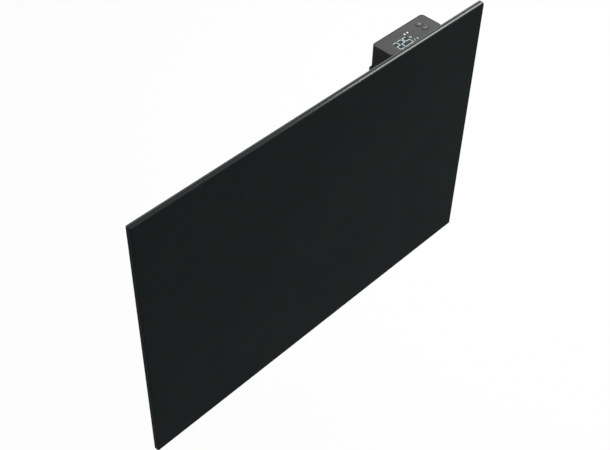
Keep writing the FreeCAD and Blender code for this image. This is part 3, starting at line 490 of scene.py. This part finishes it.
@dataclass(frozen=True)
class MouldedPlastic(Finish):
    """Moulded plastic with a spark-eroded grain.

    Attributes:
        roughness: How dull the plastic is.
        specular: How much it mirrors.
        grain: The grain.
        depth: How deep the grain is, in metres.
        flow: The flow marks.
        tones: The flow marks' darkest and palest tone.
        patches: The patches of duller plastic.
        swing: How much duller they are.
    """

    roughness: float = 0.5
    specular: float = 0.3
    grain: Noise = Noise(2600.0, 1.0)
    depth: float = 0.03 * MM
    flow: Noise = Noise(22.0)
    tones: Pair = (0.9, 1.1)
    patches: Noise = Noise(40.0)
    swing: float = 0.1

    def wire(self, graph: Surface) -> None:
        """Colours, dulls and grains the surface.

        Args:
            graph: The surface.
        """
        graph.set(
            Base_Color=self.tint(graph),
            Roughness=graph.noise(self.patches).around(self.roughness, self.swing),
            Specular_IOR_Level=self.specular,
        )
        graph.bump(graph.noise(self.grain), self.depth)

    def tint(self, graph: Surface) -> bpy.types.NodeSocket:
        """The plastic's colour with faint flow marks."""
        return graph.toned(graph.noise(self.flow).ramp(MOST), self.colour, self.tones)


@dataclass(frozen=True)
class FasciaPlate(MouldedPlastic):
    """The control box's top plate, with a dark cell behind each digit and painted shade in a ring
    round each key.

    All sizes are in metres.

    Attributes:
        cells: Middles of the digit cells.
        cell_half: Half the size of a cell.
        cell_edge: Where a cell begins to fade and is gone, out from its edge.
        cell_colour: The cells' dark colour.
        keys: Middles of the keys.
        key_half: Half the straight length of a key and its end radius.
        outline: Where the painted shade round a key begins to fade and is gone, out from the key.
        gap_shade_tone: The tone of the painted shade round the keys.
    """

    cells: tuple[Pair, ...] = ()
    cell_half: Pair = (4.0 * MM, 7.0 * MM)
    cell_edge: Pair = (-0.2 * MM, 0.4 * MM)
    cell_colour: Colour = (0.028, 0.044, 0.046)
    keys: tuple[Pair, ...] = ()
    key_half: Pair = (2.0 * MM, 3.7 * MM)
    outline: Pair = (0.54 * MM, 0.9 * MM)
    gap_shade_tone: float = 0.8

    def tint(self, graph: Surface) -> bpy.types.NodeSocket:
        """Adds the dark cells and the painted shade round the keys to the plate's colour.

        Args:
            graph: The surface.

        Returns:
            The colour at a point.
        """
        x, y, _ = graph.axes()
        inside: Number = 0.0
        for middle_x, middle_y in self.cells:
            reach_x = abs(x - middle_x) - self.cell_half[0]
            reach_y = abs(y - middle_y) - self.cell_half[1]
            inside = (1.0 - reach_x.highest(reach_y).ramp(self.cell_edge)).highest(inside)
        # Painted shade: a darker ring round each key stands in for the shade in the gap between key
        # and plate.
        ring: Number = 0.0
        for middle_x, middle_y in self.keys:
            along = (abs(x - middle_x) - self.key_half[0]).highest(0.0)
            across = y - middle_y
            gap = (along * along + across * across).root() - self.key_half[1]
            ring = (1.0 - gap.ramp(self.outline)).highest(ring)
        plain = MouldedPlastic.tint(self, graph)
        gap_shaded = graph.mix(ring, plain, shade(self.colour, self.gap_shade_tone))
        return graph.mix(inside, gap_shaded, self.cell_colour)


@dataclass(frozen=True)
class PlatedSheet(Finish):
    """Metal with rolling streaks and small cloudy patches.

    Attributes:
        roughness: How dull the metal is.
        rolled: The direction of the streaks.
        streaks: The streaks.
        streak_share: How much the streaks count against the patches.
        patches: Patches to the metre.
        span: Where the tone begins to change and is full.
        tones: The darkest and palest tone.
        swing: How much the dullness follows the streaks.
        depth: How deep the streaks are, in metres.
    """

    roughness: float = 0.38
    rolled: Axis = Axis.X
    streaks: Noise = Noise(90.0, 3.0)
    streak_share: float = 0.6
    patches: float = 160.0
    span: Pair = (0.2, 0.8)
    tones: Pair = (0.72, 1.12)
    swing: float = 0.22
    depth: float = 0.02 * MM

    def wire(self, graph: Surface) -> None:
        """Streaks and clouds the metal.

        Args:
            graph: The surface.
        """
        streak = graph.noise(self.streaks, graph.stretched(self.rolled))
        middle, _ = graph.flakes(self.patches)
        tone = streak * self.streak_share + middle * (1.0 - self.streak_share)
        graph.set(
            Base_Color=graph.toned(tone.ramp(self.span), self.colour, self.tones),
            Metallic=1.0,
            Roughness=streak.around(self.roughness, self.swing),
        )
        graph.bump(streak, self.depth)


@dataclass(frozen=True)
class LitMark(Finish):
    """A mark lit from behind through a pale diffuser.

    Attributes:
        strength: How bright it shines.
        roughness: How dull the diffuser is.
        glow: The unevenness of the light.
        span: Where the light begins to change and is full.
        lit_tones: The light's darkest and palest tone.
        body_tones: The diffuser's own darkest and palest tone.
    """

    strength: float = 1.0
    roughness: float = 0.4
    glow: Noise = Noise(380.0, 1.0)
    span: Pair = (0.2, 0.8)
    lit_tones: Pair = (0.9, 1.0)
    body_tones: Pair = (0.1, 0.2)

    def wire(self, graph: Surface) -> None:
        """Lights the mark a little unevenly.

        Args:
            graph: The surface.
        """
        glow = graph.noise(self.glow)
        graph.set(
            Base_Color=graph.toned(glow, self.colour, self.body_tones),
            Emission_Color=graph.toned(glow.ramp(self.span), self.colour, self.lit_tones),
            Emission_Strength=self.strength,
            Roughness=self.roughness,
        )


@dataclass(frozen=True)
class SoftRubber(Finish):
    """Dull rubber or a soft wire jacket, with a bloom.

    Attributes:
        roughness: How dull the rubber is.
        specular: How much it mirrors.
        bloom: The patches of bloom.
        span: Where the bloom begins and is full.
        tones: The tone without and with bloom.
        swing: How much duller the bloom is.
        grain: The rubber's grain.
        depth: How deep the grain is, in metres.
    """

    roughness: float = 0.72
    specular: float = 0.3
    bloom: Noise = Noise(120.0, 3.0)
    span: Pair = (0.35, 0.75)
    tones: Pair = (1.0, 1.3)
    swing: float = 0.15
    grain: Noise = Noise(1800.0, 1.0)
    depth: float = 0.02 * MM

    def wire(self, graph: Surface) -> None:
        """Blooms the rubber in patches.

        Args:
            graph: The surface.
        """
        bloom = graph.noise(self.bloom)
        graph.set(
            Base_Color=graph.toned(bloom.ramp(self.span), self.colour, self.tones),
            Roughness=bloom.around(self.roughness, self.swing),
            Specular_IOR_Level=self.specular,
        )
        graph.bump(graph.noise(self.grain), self.depth)


@dataclass(frozen=True)
class StripedJacket(Finish):
    """A wire jacket with a stripe of a second colour.

    Attributes:
        stripe: The stripe's colour.
        pitch: How fast the stripe winds, in radians to the metre.
        edge: Where the stripe's edge begins and is full.
        roughness: How dull the jacket is.
        patches: The patches of duller jacket.
        swing: How much duller they are.
    """

    stripe: Colour = (0.05, 0.25, 0.04)
    pitch: float = 420.0
    edge: Pair = (-0.1, 0.1)
    roughness: float = 0.6
    patches: Noise = Noise(150.0)
    swing: float = 0.1

    def wire(self, graph: Surface) -> None:
        """Winds the stripe round the jacket.

        Args:
            graph: The surface.
        """
        x, y, z = graph.axes()
        turn = ((x + y + z) * self.pitch).wave()
        graph.set(
            Base_Color=graph.mix(turn.ramp(self.edge), self.colour, self.stripe),
            Roughness=graph.noise(self.patches).around(self.roughness, self.swing),
        )


@dataclass(frozen=True)
class RibbedRibbon(Finish):
    """A flat ribbon lead with a rib over each wire and painted shade between the ribs.

    Attributes:
        ribs: Ribs to the metre across the ribbon.
        depth: How deep the ribs are, in metres.
        tones: The tone of the painted shade between the ribs and the plain tone on them.
        roughness: How dull the ribbon is.
        swing: How much duller the ribs are.
    """

    ribs: float = 900.0
    depth: float = 0.2 * MM
    tones: Pair = (0.6, 1.0)
    roughness: float = 0.55
    swing: float = 0.1

    def wire(self, graph: Surface) -> None:
        """Ribs the ribbon across its width and darkens it between the ribs as painted shade.

        Args:
            graph: The surface.
        """
        x, _, _ = graph.axes()
        rib = (x * (2.0 * math.pi * self.ribs)).wave() * 0.5 + 0.5
        # Painted shade: the colour darkens in the grooves between the ribs.
        graph.set(
            Base_Color=graph.toned(rib, self.colour, self.tones),
            Roughness=rib.around(self.roughness, self.swing),
        )
        graph.bump(rib, self.depth)


@dataclass(frozen=True)
class BoardLacquer(Finish):
    """A circuit board's lacquer over its copper lines.

    Attributes:
        lines: The colour over copper.
        pitch: How close the lines are, in radians to the metre.
        bends: Where the lines bend.
        wander: How far they bend, in radians.
        edge: Where a line's edge begins and is full.
        depth: How far a line stands up, in metres.
        roughness: How dull the lacquer is.
        patches: The patches of duller lacquer.
        swing: How much duller they are.
    """

    lines: Colour = (0.05, 0.2, 0.08)
    pitch: float = 1900.0
    bends: Noise = Noise(60.0, 0.0)
    wander: float = 9.0
    edge: Pair = (0.2, 0.5)
    depth: float = 0.04 * MM
    roughness: float = 0.38
    patches: Noise = Noise(200.0)
    swing: float = 0.12

    def wire(self, graph: Surface) -> None:
        """Draws copper lines under the lacquer.

        Args:
            graph: The surface.
        """
        x, _, z = graph.axes()
        run = ((x - z) * self.pitch + graph.noise(self.bends) * self.wander).wave()
        line = run.ramp(self.edge)
        graph.set(
            Base_Color=graph.mix(line, self.colour, self.lines),
            Roughness=graph.noise(self.patches).around(self.roughness, self.swing),
        )
        graph.bump(line, self.depth)


@dataclass(frozen=True)
class PressedFlakes(Finish):
    """A pressed sheet of flakes.

    Attributes:
        flakes: Flakes to the metre.
        roughness: How dull the middle of a flake is.
        swing: How much duller its edge is.
        speckle: How much of a flake's own colour shows.
        span: Where a flake's dark edge begins and is full.
        edge_tone: The edge's tone.
        depth: How deep the flakes lie, in metres.
    """

    flakes: float = 220.0
    roughness: float = 0.45
    swing: float = 0.2
    speckle: float = 0.22
    span: Pair = (0.2, 0.7)
    edge_tone: float = 0.7
    depth: float = 0.1 * MM

    def wire(self, graph: Surface) -> None:
        """Gives each flake its own tone.

        Args:
            graph: The surface.
        """
        middle, tone = graph.flakes(self.flakes)
        pale = graph.mix(self.speckle, self.colour, tone)
        dark = shade(self.colour, self.edge_tone)
        graph.set(
            Base_Color=graph.mix(middle.ramp(self.span), pale, dark),
            Roughness=self.roughness + middle * self.swing,
        )
        graph.bump(middle, self.depth)


@dataclass(frozen=True)
class FibreFelt(Finish):
    """A matted board of pale fibres.

    Attributes:
        fibres: The fibres.
        tones: The mat's darkest and palest tone.
        roughness: How dull the mat is.
        depth: How deep the mat is, in metres.
    """

    fibres: Noise = Noise(260.0, 4.0)
    tones: Pair = (0.75, 1.0)
    roughness: float = 0.9
    depth: float = 0.4 * MM

    def wire(self, graph: Surface) -> None:
        """Mats fibres of two directions.

        Args:
            graph: The surface.
        """
        along = graph.noise(self.fibres, graph.stretched(Axis.X))
        up = graph.noise(self.fibres, graph.stretched(Axis.Z))
        mat = along * 0.5 + up * 0.5
        graph.set(
            Base_Color=graph.toned(mat.ramp(MOST), self.colour, self.tones),
            Roughness=self.roughness,
        )
        graph.bump(mat, self.depth)


class Palette:
    """The heater's finishes."""

    panel = PowderCoat(
        "panel_black",
        (0.0125, 0.0185, 0.0174),
        roughness=0.2,
        gloss=Gloss(face=0.052, side=0.062, rim=0.20, bend=0.38, arris=0.95, index=1.7),
    )
    casing = PowderCoat(
        "casing_black",
        (0.020, 0.020, 0.021),
        roughness=0.45,
        grain=Noise(1100.0),
        depth=0.04 * MM,
        specks=Noise(2200.0, 1.0),
    )
    zinc = PlatedSheet("zinc_steel", ZINC, roughness=0.40, rolled=Axis.Z)
    rail = PlatedSheet("zinc_rail", ZINC, roughness=0.40)
    plate = PlatedSheet("plate_silver", (0.60, 0.60, 0.60), roughness=0.42)
    track = PlatedSheet("track_steel", (0.35, 0.34, 0.33), roughness=0.35)
    rivet = PlatedSheet("rivet_steel", (0.50, 0.51, 0.53), roughness=0.34, rolled=Axis.Y)
    black_screw = PlatedSheet("screw_black", (0.045, 0.045, 0.047), roughness=0.36, rolled=Axis.Y)
    bright_screw = PlatedSheet("screw_steel", (0.60, 0.60, 0.60), roughness=0.30, rolled=Axis.Y)
    brass = PlatedSheet("terminal_brass", (0.70, 0.52, 0.22), roughness=0.28, rolled=Axis.Y)
    can = PlatedSheet("capacitor_can", (0.10, 0.12, 0.20), roughness=0.35, rolled=Axis.Y)
    shell = MouldedPlastic("control_plastic", (0.052, 0.054, 0.053), roughness=0.55, specular=0.06)
    fascia = FasciaPlate("fascia_smoke", (0.082, 0.083, 0.082), roughness=0.52, specular=0.06)
    key = MouldedPlastic("key_plastic", (0.078, 0.079, 0.079), specular=0.08)
    sign = MouldedPlastic("key_sign", (0.26, 0.27, 0.27))
    cutout = MouldedPlastic("cutout_grey", (0.20, 0.20, 0.20))
    black = MouldedPlastic("switch_black", (0.020, 0.020, 0.020), roughness=0.42)
    nylon = MouldedPlastic("standoff_nylon", (0.72, 0.71, 0.68), roughness=0.45)
    supply = MouldedPlastic("supply_grey", (0.12, 0.12, 0.13), roughness=0.4)
    gland = MouldedPlastic("gland_nylon", (0.018, 0.018, 0.019), roughness=0.48)
    switch = MouldedPlastic("rocker_frame_black", (0.020, 0.020, 0.021), roughness=0.45)
    rocker = MouldedPlastic(
        "rocker_grey",
        (0.035, 0.035, 0.037),
        roughness=0.24,
        specular=0.5,
        grain=Noise(900.0, 1.0),
        depth=0.01 * MM,
    )
    mark = MouldedPlastic("rocker_mark", (0.75, 0.75, 0.74), roughness=0.4)
    digit = LitMark("digit_light", (0.80, 0.93, 0.95), strength=0.64)
    dim = LitMark("sign_light", (0.52, 0.58, 0.60), strength=0.8)
    lamp = LitMark("lamp_light", (0.95, 1.0, 1.0), strength=0.85)
    bumper = SoftRubber("bumper_rubber", (0.016, 0.016, 0.016))
    seal = SoftRubber("gland_seal", (0.012, 0.012, 0.012), roughness=0.6)
    heater_wire = SoftRubber("heater_wire", (0.70, 0.69, 0.66), roughness=0.5)
    supply_wire = SoftRubber("supply_wire", (0.03, 0.03, 0.03), roughness=0.5)
    sensor_wire = SoftRubber("sensor_wire", (0.25, 0.25, 0.26), roughness=0.5)
    earth_wire = StripedJacket("earth_wire", (0.55, 0.48, 0.03))
    ribbon = RibbedRibbon("ribbon_grey", (0.40, 0.40, 0.42))
    board = BoardLacquer("circuit_board", (0.02, 0.11, 0.05))
    mica = PressedFlakes("mica_board", (0.45, 0.36, 0.22))
    felt = FibreFelt("insulation_felt", (0.62, 0.60, 0.55))


def coat(finish: Finish, *nodes: str) -> None:
    """Gives carried-over solids a finish.

    Args:
        finish: The finish.
        nodes: The names of the solids.
    """
    for name in nodes:
        slots = frame["nodes"][name].data.materials
        if not slots:
            slots.append(None)
        for place in range(len(slots)):
            slots[place] = finish.material()
        LOG.info("dressed %s in %s", name, finish.name)


def piece(
    name: str, mesh: bmesh.types.BMesh, finish: Finish, body: Body
) -> bpy.types.Object:
    """Turns a mesh into a piece of the heater.

    Args:
        name: The piece's name.
        mesh: Its mesh, in the shared frame.
        finish: Its finish.
        body: The body that it rides on.

    Returns:
        The new piece.
    """
    data = bpy.data.meshes.new(name)
    bmesh.ops.recalc_face_normals(mesh, faces=mesh.faces)
    mesh.to_mesh(data)
    mesh.free()
    made = bpy.data.objects.new(name, data)
    bpy.context.scene.collection.objects.link(made)
    data.materials.append(finish.material())
    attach(made, body.value)
    LOG.info("built %s with %d faces", name, len(data.polygons))
    return made


class Corner(NamedTuple):
    """One corner of a turned ring's section.

    Attributes:
        radius: From the axis, in metres.
        height: Along the axis, in metres.
        rib: How deep the grooves between the ribs are there, in metres.
    """

    radius: float
    height: float
    rib: float = 0.0


def turned(outline: Sequence[Corner], steps: int, ribs: int = 0) -> bmesh.types.BMesh:
    """Turns a closed ring about the upright axis.

    Args:
        outline: The corners of the ring's section.
        steps: How many flats go round.
        ribs: How many ribs go round.

    Returns:
        The mesh, about the origin.
    """
    mesh = bmesh.new()
    rings = []
    for corner in outline:
        ring = []
        for step in range(steps):
            angle = 2.0 * math.pi * step / steps
            groove = (0.5 - 0.5 * math.cos(angle * ribs)) ** 2
            reach = corner.radius - corner.rib * groove
            spot = (reach * math.cos(angle), reach * math.sin(angle), corner.height)
            ring.append(mesh.verts.new(spot))
        rings.append(ring)
    for first, second in zip(rings, rings[1:] + rings[:1]):
        for step in range(steps):
            after = (step + 1) % steps
            corners = (first[step], first[after], second[after], second[step])
            mesh.faces.new(corners).smooth = True
    return mesh


class Assembly:
    """One sub-assembly of the heater."""

    def build(self) -> None:
        """Builds the pieces that the scene adds, if there are any."""

    def dress(self) -> None:
        """Gives each solid its finish."""
        raise NotImplementedError


@dataclass
class WallBracket(Assembly):
    """The plated bracket on the wall."""

    def dress(self) -> None:
        """Plates the steel and leaves the bumpers rubber."""
        coat(Palette.zinc, "left_upright", "right_upright")
        coat(Palette.rail, "lower_crossbar", "upper_crossbar")
        coat(Palette.rivet, "bracket_rivets")
        coat(Palette.bumper, "bracket_bumpers")


@dataclass
class HeatingPan(Assembly):
    """The front pan with the heating layers in it."""

    def dress(self) -> None:
        """Coats the pan and finishes its layers."""
        coat(Palette.panel, "front_panel")
        coat(Palette.mica, "heating_element")
        coat(Palette.track, "resistance_track")
        coat(Palette.brass, "element_terminals")
        coat(Palette.cutout, "overheat_cutout")
        coat(Palette.felt, "insulation_board")


@dataclass
class RearCasing(Assembly):
    """The tray behind the pan with its hangers, plate, gland and sensor.

    All sizes are in metres.

    Attributes:
        collar_radius: The gland collar's radius.
        collar_height: The collar's height.
        neck_radius: The gland's neck.
        bore_radius: The gland's bore.
        foot_inset: From the collar's radius in to its flat lower end.
        shoulder_inset: From the collar's radius in to its rounded shoulder.
        shoulder_height: From the lower end up to the shoulder.
        grip_start: From the lower end up to the grip ribs.
        edge: From the collar's top down to the ribs, and from the neck's top down to the seal.
        crest_inset: From the collar's radius in to its upper edge.
        rib_depth: How deep the grooves between the ribs are.
        ribs: How many ribs go round.
        rib_steps: How many flats make a rib and its groove.
        seal_width: How wide the rubber seal is.
        seal_sunk: From the collar's lower end up to the seal.
        seal_bevel: The bevel at the seal's mouth.
        seal_steps: How many flats go round the seal.
    """

    collar_radius: float = 9.0 * MM
    collar_height: float = 6.0 * MM
    neck_radius: float = 6.0 * MM
    bore_radius: float = 3.5 * MM
    foot_inset: float = 2.4 * MM
    shoulder_inset: float = 1.0 * MM
    shoulder_height: float = 0.5 * MM
    grip_start: float = 1.6 * MM
    edge: float = 0.8 * MM
    crest_inset: float = 0.2 * MM
    rib_depth: float = 0.7 * MM
    ribs: int = 18
    rib_steps: int = 10
    seal_width: float = 1.2 * MM
    seal_sunk: float = 0.2 * MM
    seal_bevel: float = 0.4 * MM
    seal_steps: int = 72

    def build(self) -> None:
        """Builds the ribbed gland and its rubber seal."""
        low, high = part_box("cord_gland")
        middle = Vector(((low.x + high.x) / 2, (low.y + high.y) / 2, low.z))
        top = high.z - low.z
        lip = self.bore_radius + self.seal_width
        collar = turned(
            (
                Corner(lip, 0.0),
                Corner(self.collar_radius - self.foot_inset, 0.0),
                Corner(self.collar_radius - self.shoulder_inset, self.shoulder_height),
                Corner(self.collar_radius, self.grip_start, self.rib_depth),
                Corner(self.collar_radius, self.collar_height - self.edge, self.rib_depth),
                Corner(self.collar_radius - self.crest_inset, self.collar_height),
                Corner(self.neck_radius, self.collar_height),
                Corner(self.neck_radius, top),
                Corner(lip, top),
            ),
            self.ribs * self.rib_steps,
            self.ribs,
        )
        bmesh.ops.translate(collar, verts=collar.verts, vec=middle)
        gland = piece("cord_gland_collar", collar, Palette.gland, Body.HEATER)
        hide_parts("cord_gland")
        seal = turned(
            (
                Corner(self.bore_radius, self.seal_sunk + self.seal_bevel),
                Corner(self.bore_radius + self.seal_bevel, self.seal_sunk),
                Corner(lip, self.seal_sunk),
                Corner(lip, top - self.edge),
                Corner(self.bore_radius, top - self.edge),
            ),
            self.seal_steps,
        )
        bmesh.ops.translate(seal, verts=seal.verts, vec=middle)
        piece("cord_gland_seal", seal, Palette.seal, Body.HEATER)

    def dress(self) -> None:
        """Coats the tray and finishes what is fixed to it."""
        coat(Palette.casing, "rear_casing")
        coat(Palette.black_screw, "casing_screws")
        coat(Palette.rivet, "hanger_rivets")
        coat(Palette.zinc, "left_hanger_plate", "right_hanger_plate")
        coat(Palette.plate, "rating_plate")
        coat(Palette.gland, "cord_gland", "gland_nut", "room_sensor")


@dataclass
class ControlBox(Assembly):
    """The box behind the top edge, with its display and keys.

    Attributes:
        digit_pitch: From one digit to the next, in metres.
        cell_margin: How far a dark cell reaches past its digit, in metres.
    """

    digit_pitch: float = 8.5 * MM
    cell_margin: float = 0.35 * MM

    def fascia(self) -> FasciaPlate:
        """Fits the top plate's finish to the digits and keys.

        Returns:
            The fitted finish.
        """
        low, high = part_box("display_digits")
        middle_x = (low.x + high.x) / 2
        middle_y = (low.y + high.y) / 2
        width = high.x - low.x - 2 * self.digit_pitch
        cells = tuple((middle_x + step * self.digit_pitch, middle_y) for step in (-1, 0, 1))
        half = (width / 2 + self.cell_margin, (high.y - low.y) / 2 + self.cell_margin)
        keys = []
        for sign in ("minus_sign", "plus_sign"):
            sign_low, sign_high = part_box(sign)
            keys.append(((sign_low.x + sign_high.x) / 2, (sign_low.y + sign_high.y) / 2))
        return replace(Palette.fascia, cells=cells, cell_half=half, keys=tuple(keys))

    def dress(self) -> None:
        """Finishes the box, its display and its keys."""
        coat(Palette.shell, "control_base", "control_cover")
        coat(self.fascia(), "control_fascia")
        coat(Palette.digit, "display_digits")
        coat(Palette.dim, "display_signs")
        coat(Palette.lamp, "status_lamps")
        coat(Palette.key, "minus_key", "plus_key")
        coat(Palette.sign, "minus_sign", "plus_sign")
        coat(Palette.black_screw, "control_base_screws", "control_cover_screws")
        coat(Palette.black, "key_switches", "digit_module", "ribbon_headers")
        coat(Palette.board, "display_board")
        coat(Palette.bright_screw, "display_board_screws")
        coat(Palette.ribbon, "ribbon_lead")


@dataclass
class PowerBay(Assembly):
    """The power board, the inlet and the leads inside the casing."""

    def dress(self) -> None:
        """Finishes the pieces inside the casing."""
        coat(Palette.board, "power_board")
        coat(Palette.nylon, "board_standoffs", "lead_clamp", "lead_plug", "terminal_block")
        coat(Palette.bright_screw, "power_board_screws")
        coat(Palette.black, "relay")
        coat(Palette.supply, "power_supply")
        coat(Palette.can, "capacitor")
        coat(Palette.brass, "earth_stud", "earth_lug", "earth_nuts")
        coat(Palette.heater_wire, "heater_leads")
        coat(Palette.supply_wire, "supply_leads")
        coat(Palette.earth_wire, "earth_lead")
        coat(Palette.sensor_wire, "sensor_lead")


@dataclass
class MainsSwitch(Assembly):
    """The rocker switch in the casing's right wall.

    Attributes:
        joint: The joint that the rocker tips on.
        tilt: How far the rocker leans at rest, in degrees.
        face: From the pivot out to the rocker's face at its marks, in metres.
        slope: How steeply each half of the face rises, in degrees.
        mark_offset: From the pivot to each mark, in metres.
        mark_reach: Half the size of a mark, in metres.
        stroke: The marks' line width, in metres.
        proud: How far the marks stand out, in metres.
        ring_steps: How many flats go round the off mark.
    """

    joint: str = "mains_rocker_tilt"
    tilt: float = 9.0
    face: float = 5.6 * MM
    slope: float = 9.7
    mark_offset: float = 3.5 * MM
    mark_reach: float = 1.3 * MM
    stroke: float = 0.45 * MM
    proud: float = 0.03 * MM
    ring_steps: int = 48

    def _place(self, mesh: bmesh.types.BMesh, half: Half) -> None:
        """Lays a flat mark on the rocker's face.

        Args:
            mesh: The mark, lying about the origin.
            half: The half of the face that takes it.
        """
        pivot = next(joint["pos_m"] for joint in frame["joints"] if joint["name"] == self.joint)
        stand = Matrix.Rotation(math.pi / 2, 4, "Y")
        lean = Matrix.Rotation(math.radians(half.value * self.slope), 4, "Y")
        shift = Matrix.Translation((self.face, 0.0, half.value * self.mark_offset))
        tilt = Matrix.Rotation(math.radians(self.tilt), 4, "Y")
        mesh.transform(Matrix.Translation(pivot) @ tilt @ shift @ lean @ stand)

    def build(self) -> None:
        """Builds the off mark, a ring, and the on mark, a bar."""
        ring = turned(
            (
                Corner(self.mark_reach - self.stroke, -self.proud),
                Corner(self.mark_reach, -self.proud),
                Corner(self.mark_reach, self.proud),
                Corner(self.mark_reach - self.stroke, self.proud),
            ),
            self.ring_steps,
        )
        self._place(ring, Half.LOWER)
        piece("rocker_off_mark", ring, Palette.mark, Body.ROCKER)
        bar = bmesh.new()
        bmesh.ops.create_cube(bar, size=1.0)
        size = (2 * self.mark_reach, self.stroke, 2 * self.proud)
        bmesh.ops.scale(bar, verts=bar.verts, vec=size)
        self._place(bar, Half.UPPER)
        piece("rocker_on_mark", bar, Palette.mark, Body.ROCKER)

    def dress(self) -> None:
        """Finishes the switch."""
        coat(Palette.switch, "rocker_frame")
        coat(Palette.rocker, "rocker")
        coat(Palette.brass, "rocker_blades")


@dataclass(frozen=True)
class SoftLight:
    """One oblong soft box, its long side as near to the front-to-back direction as it goes.

    Attributes:
        name: The lamp's name.
        place: Where it hangs, in metres.
        target: Where it points, in metres.
        width: Its short side, in metres.
        length: Its long side, in metres.
        power: Its power in watts.
    """

    name: str
    place: Point
    target: Point
    width: float
    length: float
    power: float

    def build(self) -> None:
        """Hangs the lamp."""
        lamp = bpy.data.lights.new(self.name, "AREA")
        lamp.shape = "RECTANGLE"
        lamp.size = self.width
        lamp.size_y = self.length
        lamp.energy = self.power
        made = bpy.data.objects.new(self.name, lamp)
        back = (Vector(self.place) - Vector(self.target)).normalized()
        side = Vector((0.0, 1.0, 0.0)).cross(back).normalized()
        turn = Matrix((side, back.cross(side), back)).transposed()
        made.matrix_world = Matrix.Translation(self.place) @ turn.to_4x4()
        bpy.context.scene.collection.objects.link(made)


@dataclass
class Studio:
    """The pale floor, the soft light and the camera.

    Attributes:
        floor_drop: From the heater's lowest point down to the floor, in metres.
        floor_half: Half the floor's side, in metres.
        floor_tone: The floor's own grey, from 0 to 1.
        floor_clouds: The faint clouds in the floor.
        floor_tones: The clouds' darkest and palest tone.
        floor_glow: How much of the floor shows as plain white.
        ambient: How brightly the surroundings light the heater.
        lamps: The soft lamps.
        eye: Where the camera stands, in metres.
        right: The picture's direction to the right.
        up: The picture's direction up.
        lens: The camera's focal length, in millimetres.
        sensor: The width that goes with that focal length, in millimetres.
        clip: The nearest and furthest that the camera sees, in metres.
    """

    floor_drop: float = 0.35
    floor_half: float = 30.0
    floor_tone: float = 0.85
    floor_clouds: Noise = Noise(3.0)
    floor_tones: Pair = (1.0, 1.02)
    floor_glow: float = 0.94
    ambient: float = 0.32
    lamps: tuple[SoftLight, ...] = (
        SoftLight(
            "key_light",
            place=(1.06, -0.03, 1.1),
            target=(1.05, -0.03, 0.0),
            width=0.68,
            length=1.0,
            power=29.0,
        ),
    )
    eye: Point = (-0.74594, -0.73803, 1.00664)
    right: Point = (0.69851388, -0.71530126, 0.02055427)
    up: Point = (0.4973406, 0.50592011, 0.70476745)
    lens: float = 65.70
    sensor: float = 36.0
    clip: Pair = (0.05, 200.0)

    def floor(self, level: float) -> None:
        """Lays the pale floor.

        Args:
            level: The heater's lowest point, in metres.
        """
        mesh = bmesh.new()
        bmesh.ops.create_grid(mesh, x_segments=1, y_segments=1, size=self.floor_half)
        bmesh.ops.translate(mesh, verts=mesh.verts, vec=(0.0, 0.0, level - self.floor_drop))
        data = bpy.data.meshes.new("studio_floor")
        mesh.to_mesh(data)
        mesh.free()
        made = bpy.data.objects.new("studio_floor", data)
        bpy.context.scene.collection.objects.link(made)
        data.materials.append(self.floor_paint())
        made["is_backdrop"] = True

    def floor_paint(self) -> bpy.types.Material:
        """Mixes the floor's paint, which shows almost white and still takes a shadow.

        Returns:
            The floor's material.
        """
        graph = Surface("studio_floor")
        cloud = graph.noise(self.floor_clouds)
        graph.set(
            Base_Color=graph.toned(cloud, shade(WHITE, self.floor_tone), self.floor_tones),
            Roughness=1.0,
            Specular_IOR_Level=0.0,
        )
        glow = graph.node("ShaderNodeEmission", {}, {"Color": WHITE, "Strength": 1.0})
        share = graph.seen() * self.floor_glow
        parts = {0: share, 1: graph.shader.outputs[0], 2: glow.outputs[0]}
        blend = graph.node("ShaderNodeMixShader", {}, parts)
        graph.feed(graph.output.inputs["Surface"], blend.outputs[0])
        return graph.material

    def far_floor(self) -> float:
        """How white the floor looks far from the lamps."""
        return self.floor_glow + (1.0 - self.floor_glow) * self.floor_tone * self.ambient

    def surroundings(self) -> None:
        """Makes the surroundings look like the far floor, so that no line shows, and light less."""
        world = bpy.data.worlds.new("studio")
        bpy.context.scene.world = world
        graph = Graph(world)
        strength = self.ambient + graph.seen() * (self.far_floor() - self.ambient)
        sky = graph.node("ShaderNodeBackground", {}, {"Color": WHITE, "Strength": strength})
        graph.node("ShaderNodeOutputWorld", {}, {"Surface": sky.outputs[0]})

    def camera(self) -> None:
        """Stands the camera where the picture was taken from."""
        data = bpy.data.cameras.new("picture_camera")
        data.sensor_width = self.sensor
        data.lens = self.lens
        data.clip_start, data.clip_end = self.clip
        made = bpy.data.objects.new("picture_camera", data)
        bpy.context.scene.collection.objects.link(made)
        right = Vector(self.right).normalized()
        back = right.cross(Vector(self.up)).normalized()
        turn = Matrix((right, back.cross(right), back)).transposed()
        made.matrix_world = Matrix.Translation(self.eye) @ turn.to_4x4()
        bpy.context.scene.camera = made

    def build(self, level: float) -> None:
        """Sets up the floor, lights and camera.

        Args:
            level: The heater's lowest point, in metres.
        """
        bpy.context.scene.view_settings.view_transform = "Standard"
        self.floor(level)
        self.surroundings()
        for lamp in self.lamps:
            lamp.build()
        self.camera()
        LOG.info("set up the studio with %d lamps", len(self.lamps))


def main() -> None:
    """Builds and dresses each sub-assembly, then the studio."""
    logging.basicConfig(level=logging.INFO, format="%(name)s: %(message)s")
    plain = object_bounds()
    assemblies = (
        WallBracket(), HeatingPan(), RearCasing(), ControlBox(), PowerBay(), MainsSwitch()
    )
    for assembly in assemblies:
        assembly.build()
        assembly.dress()
    Studio().build(plain[0].z)


if __name__ == "__main__":
    main()
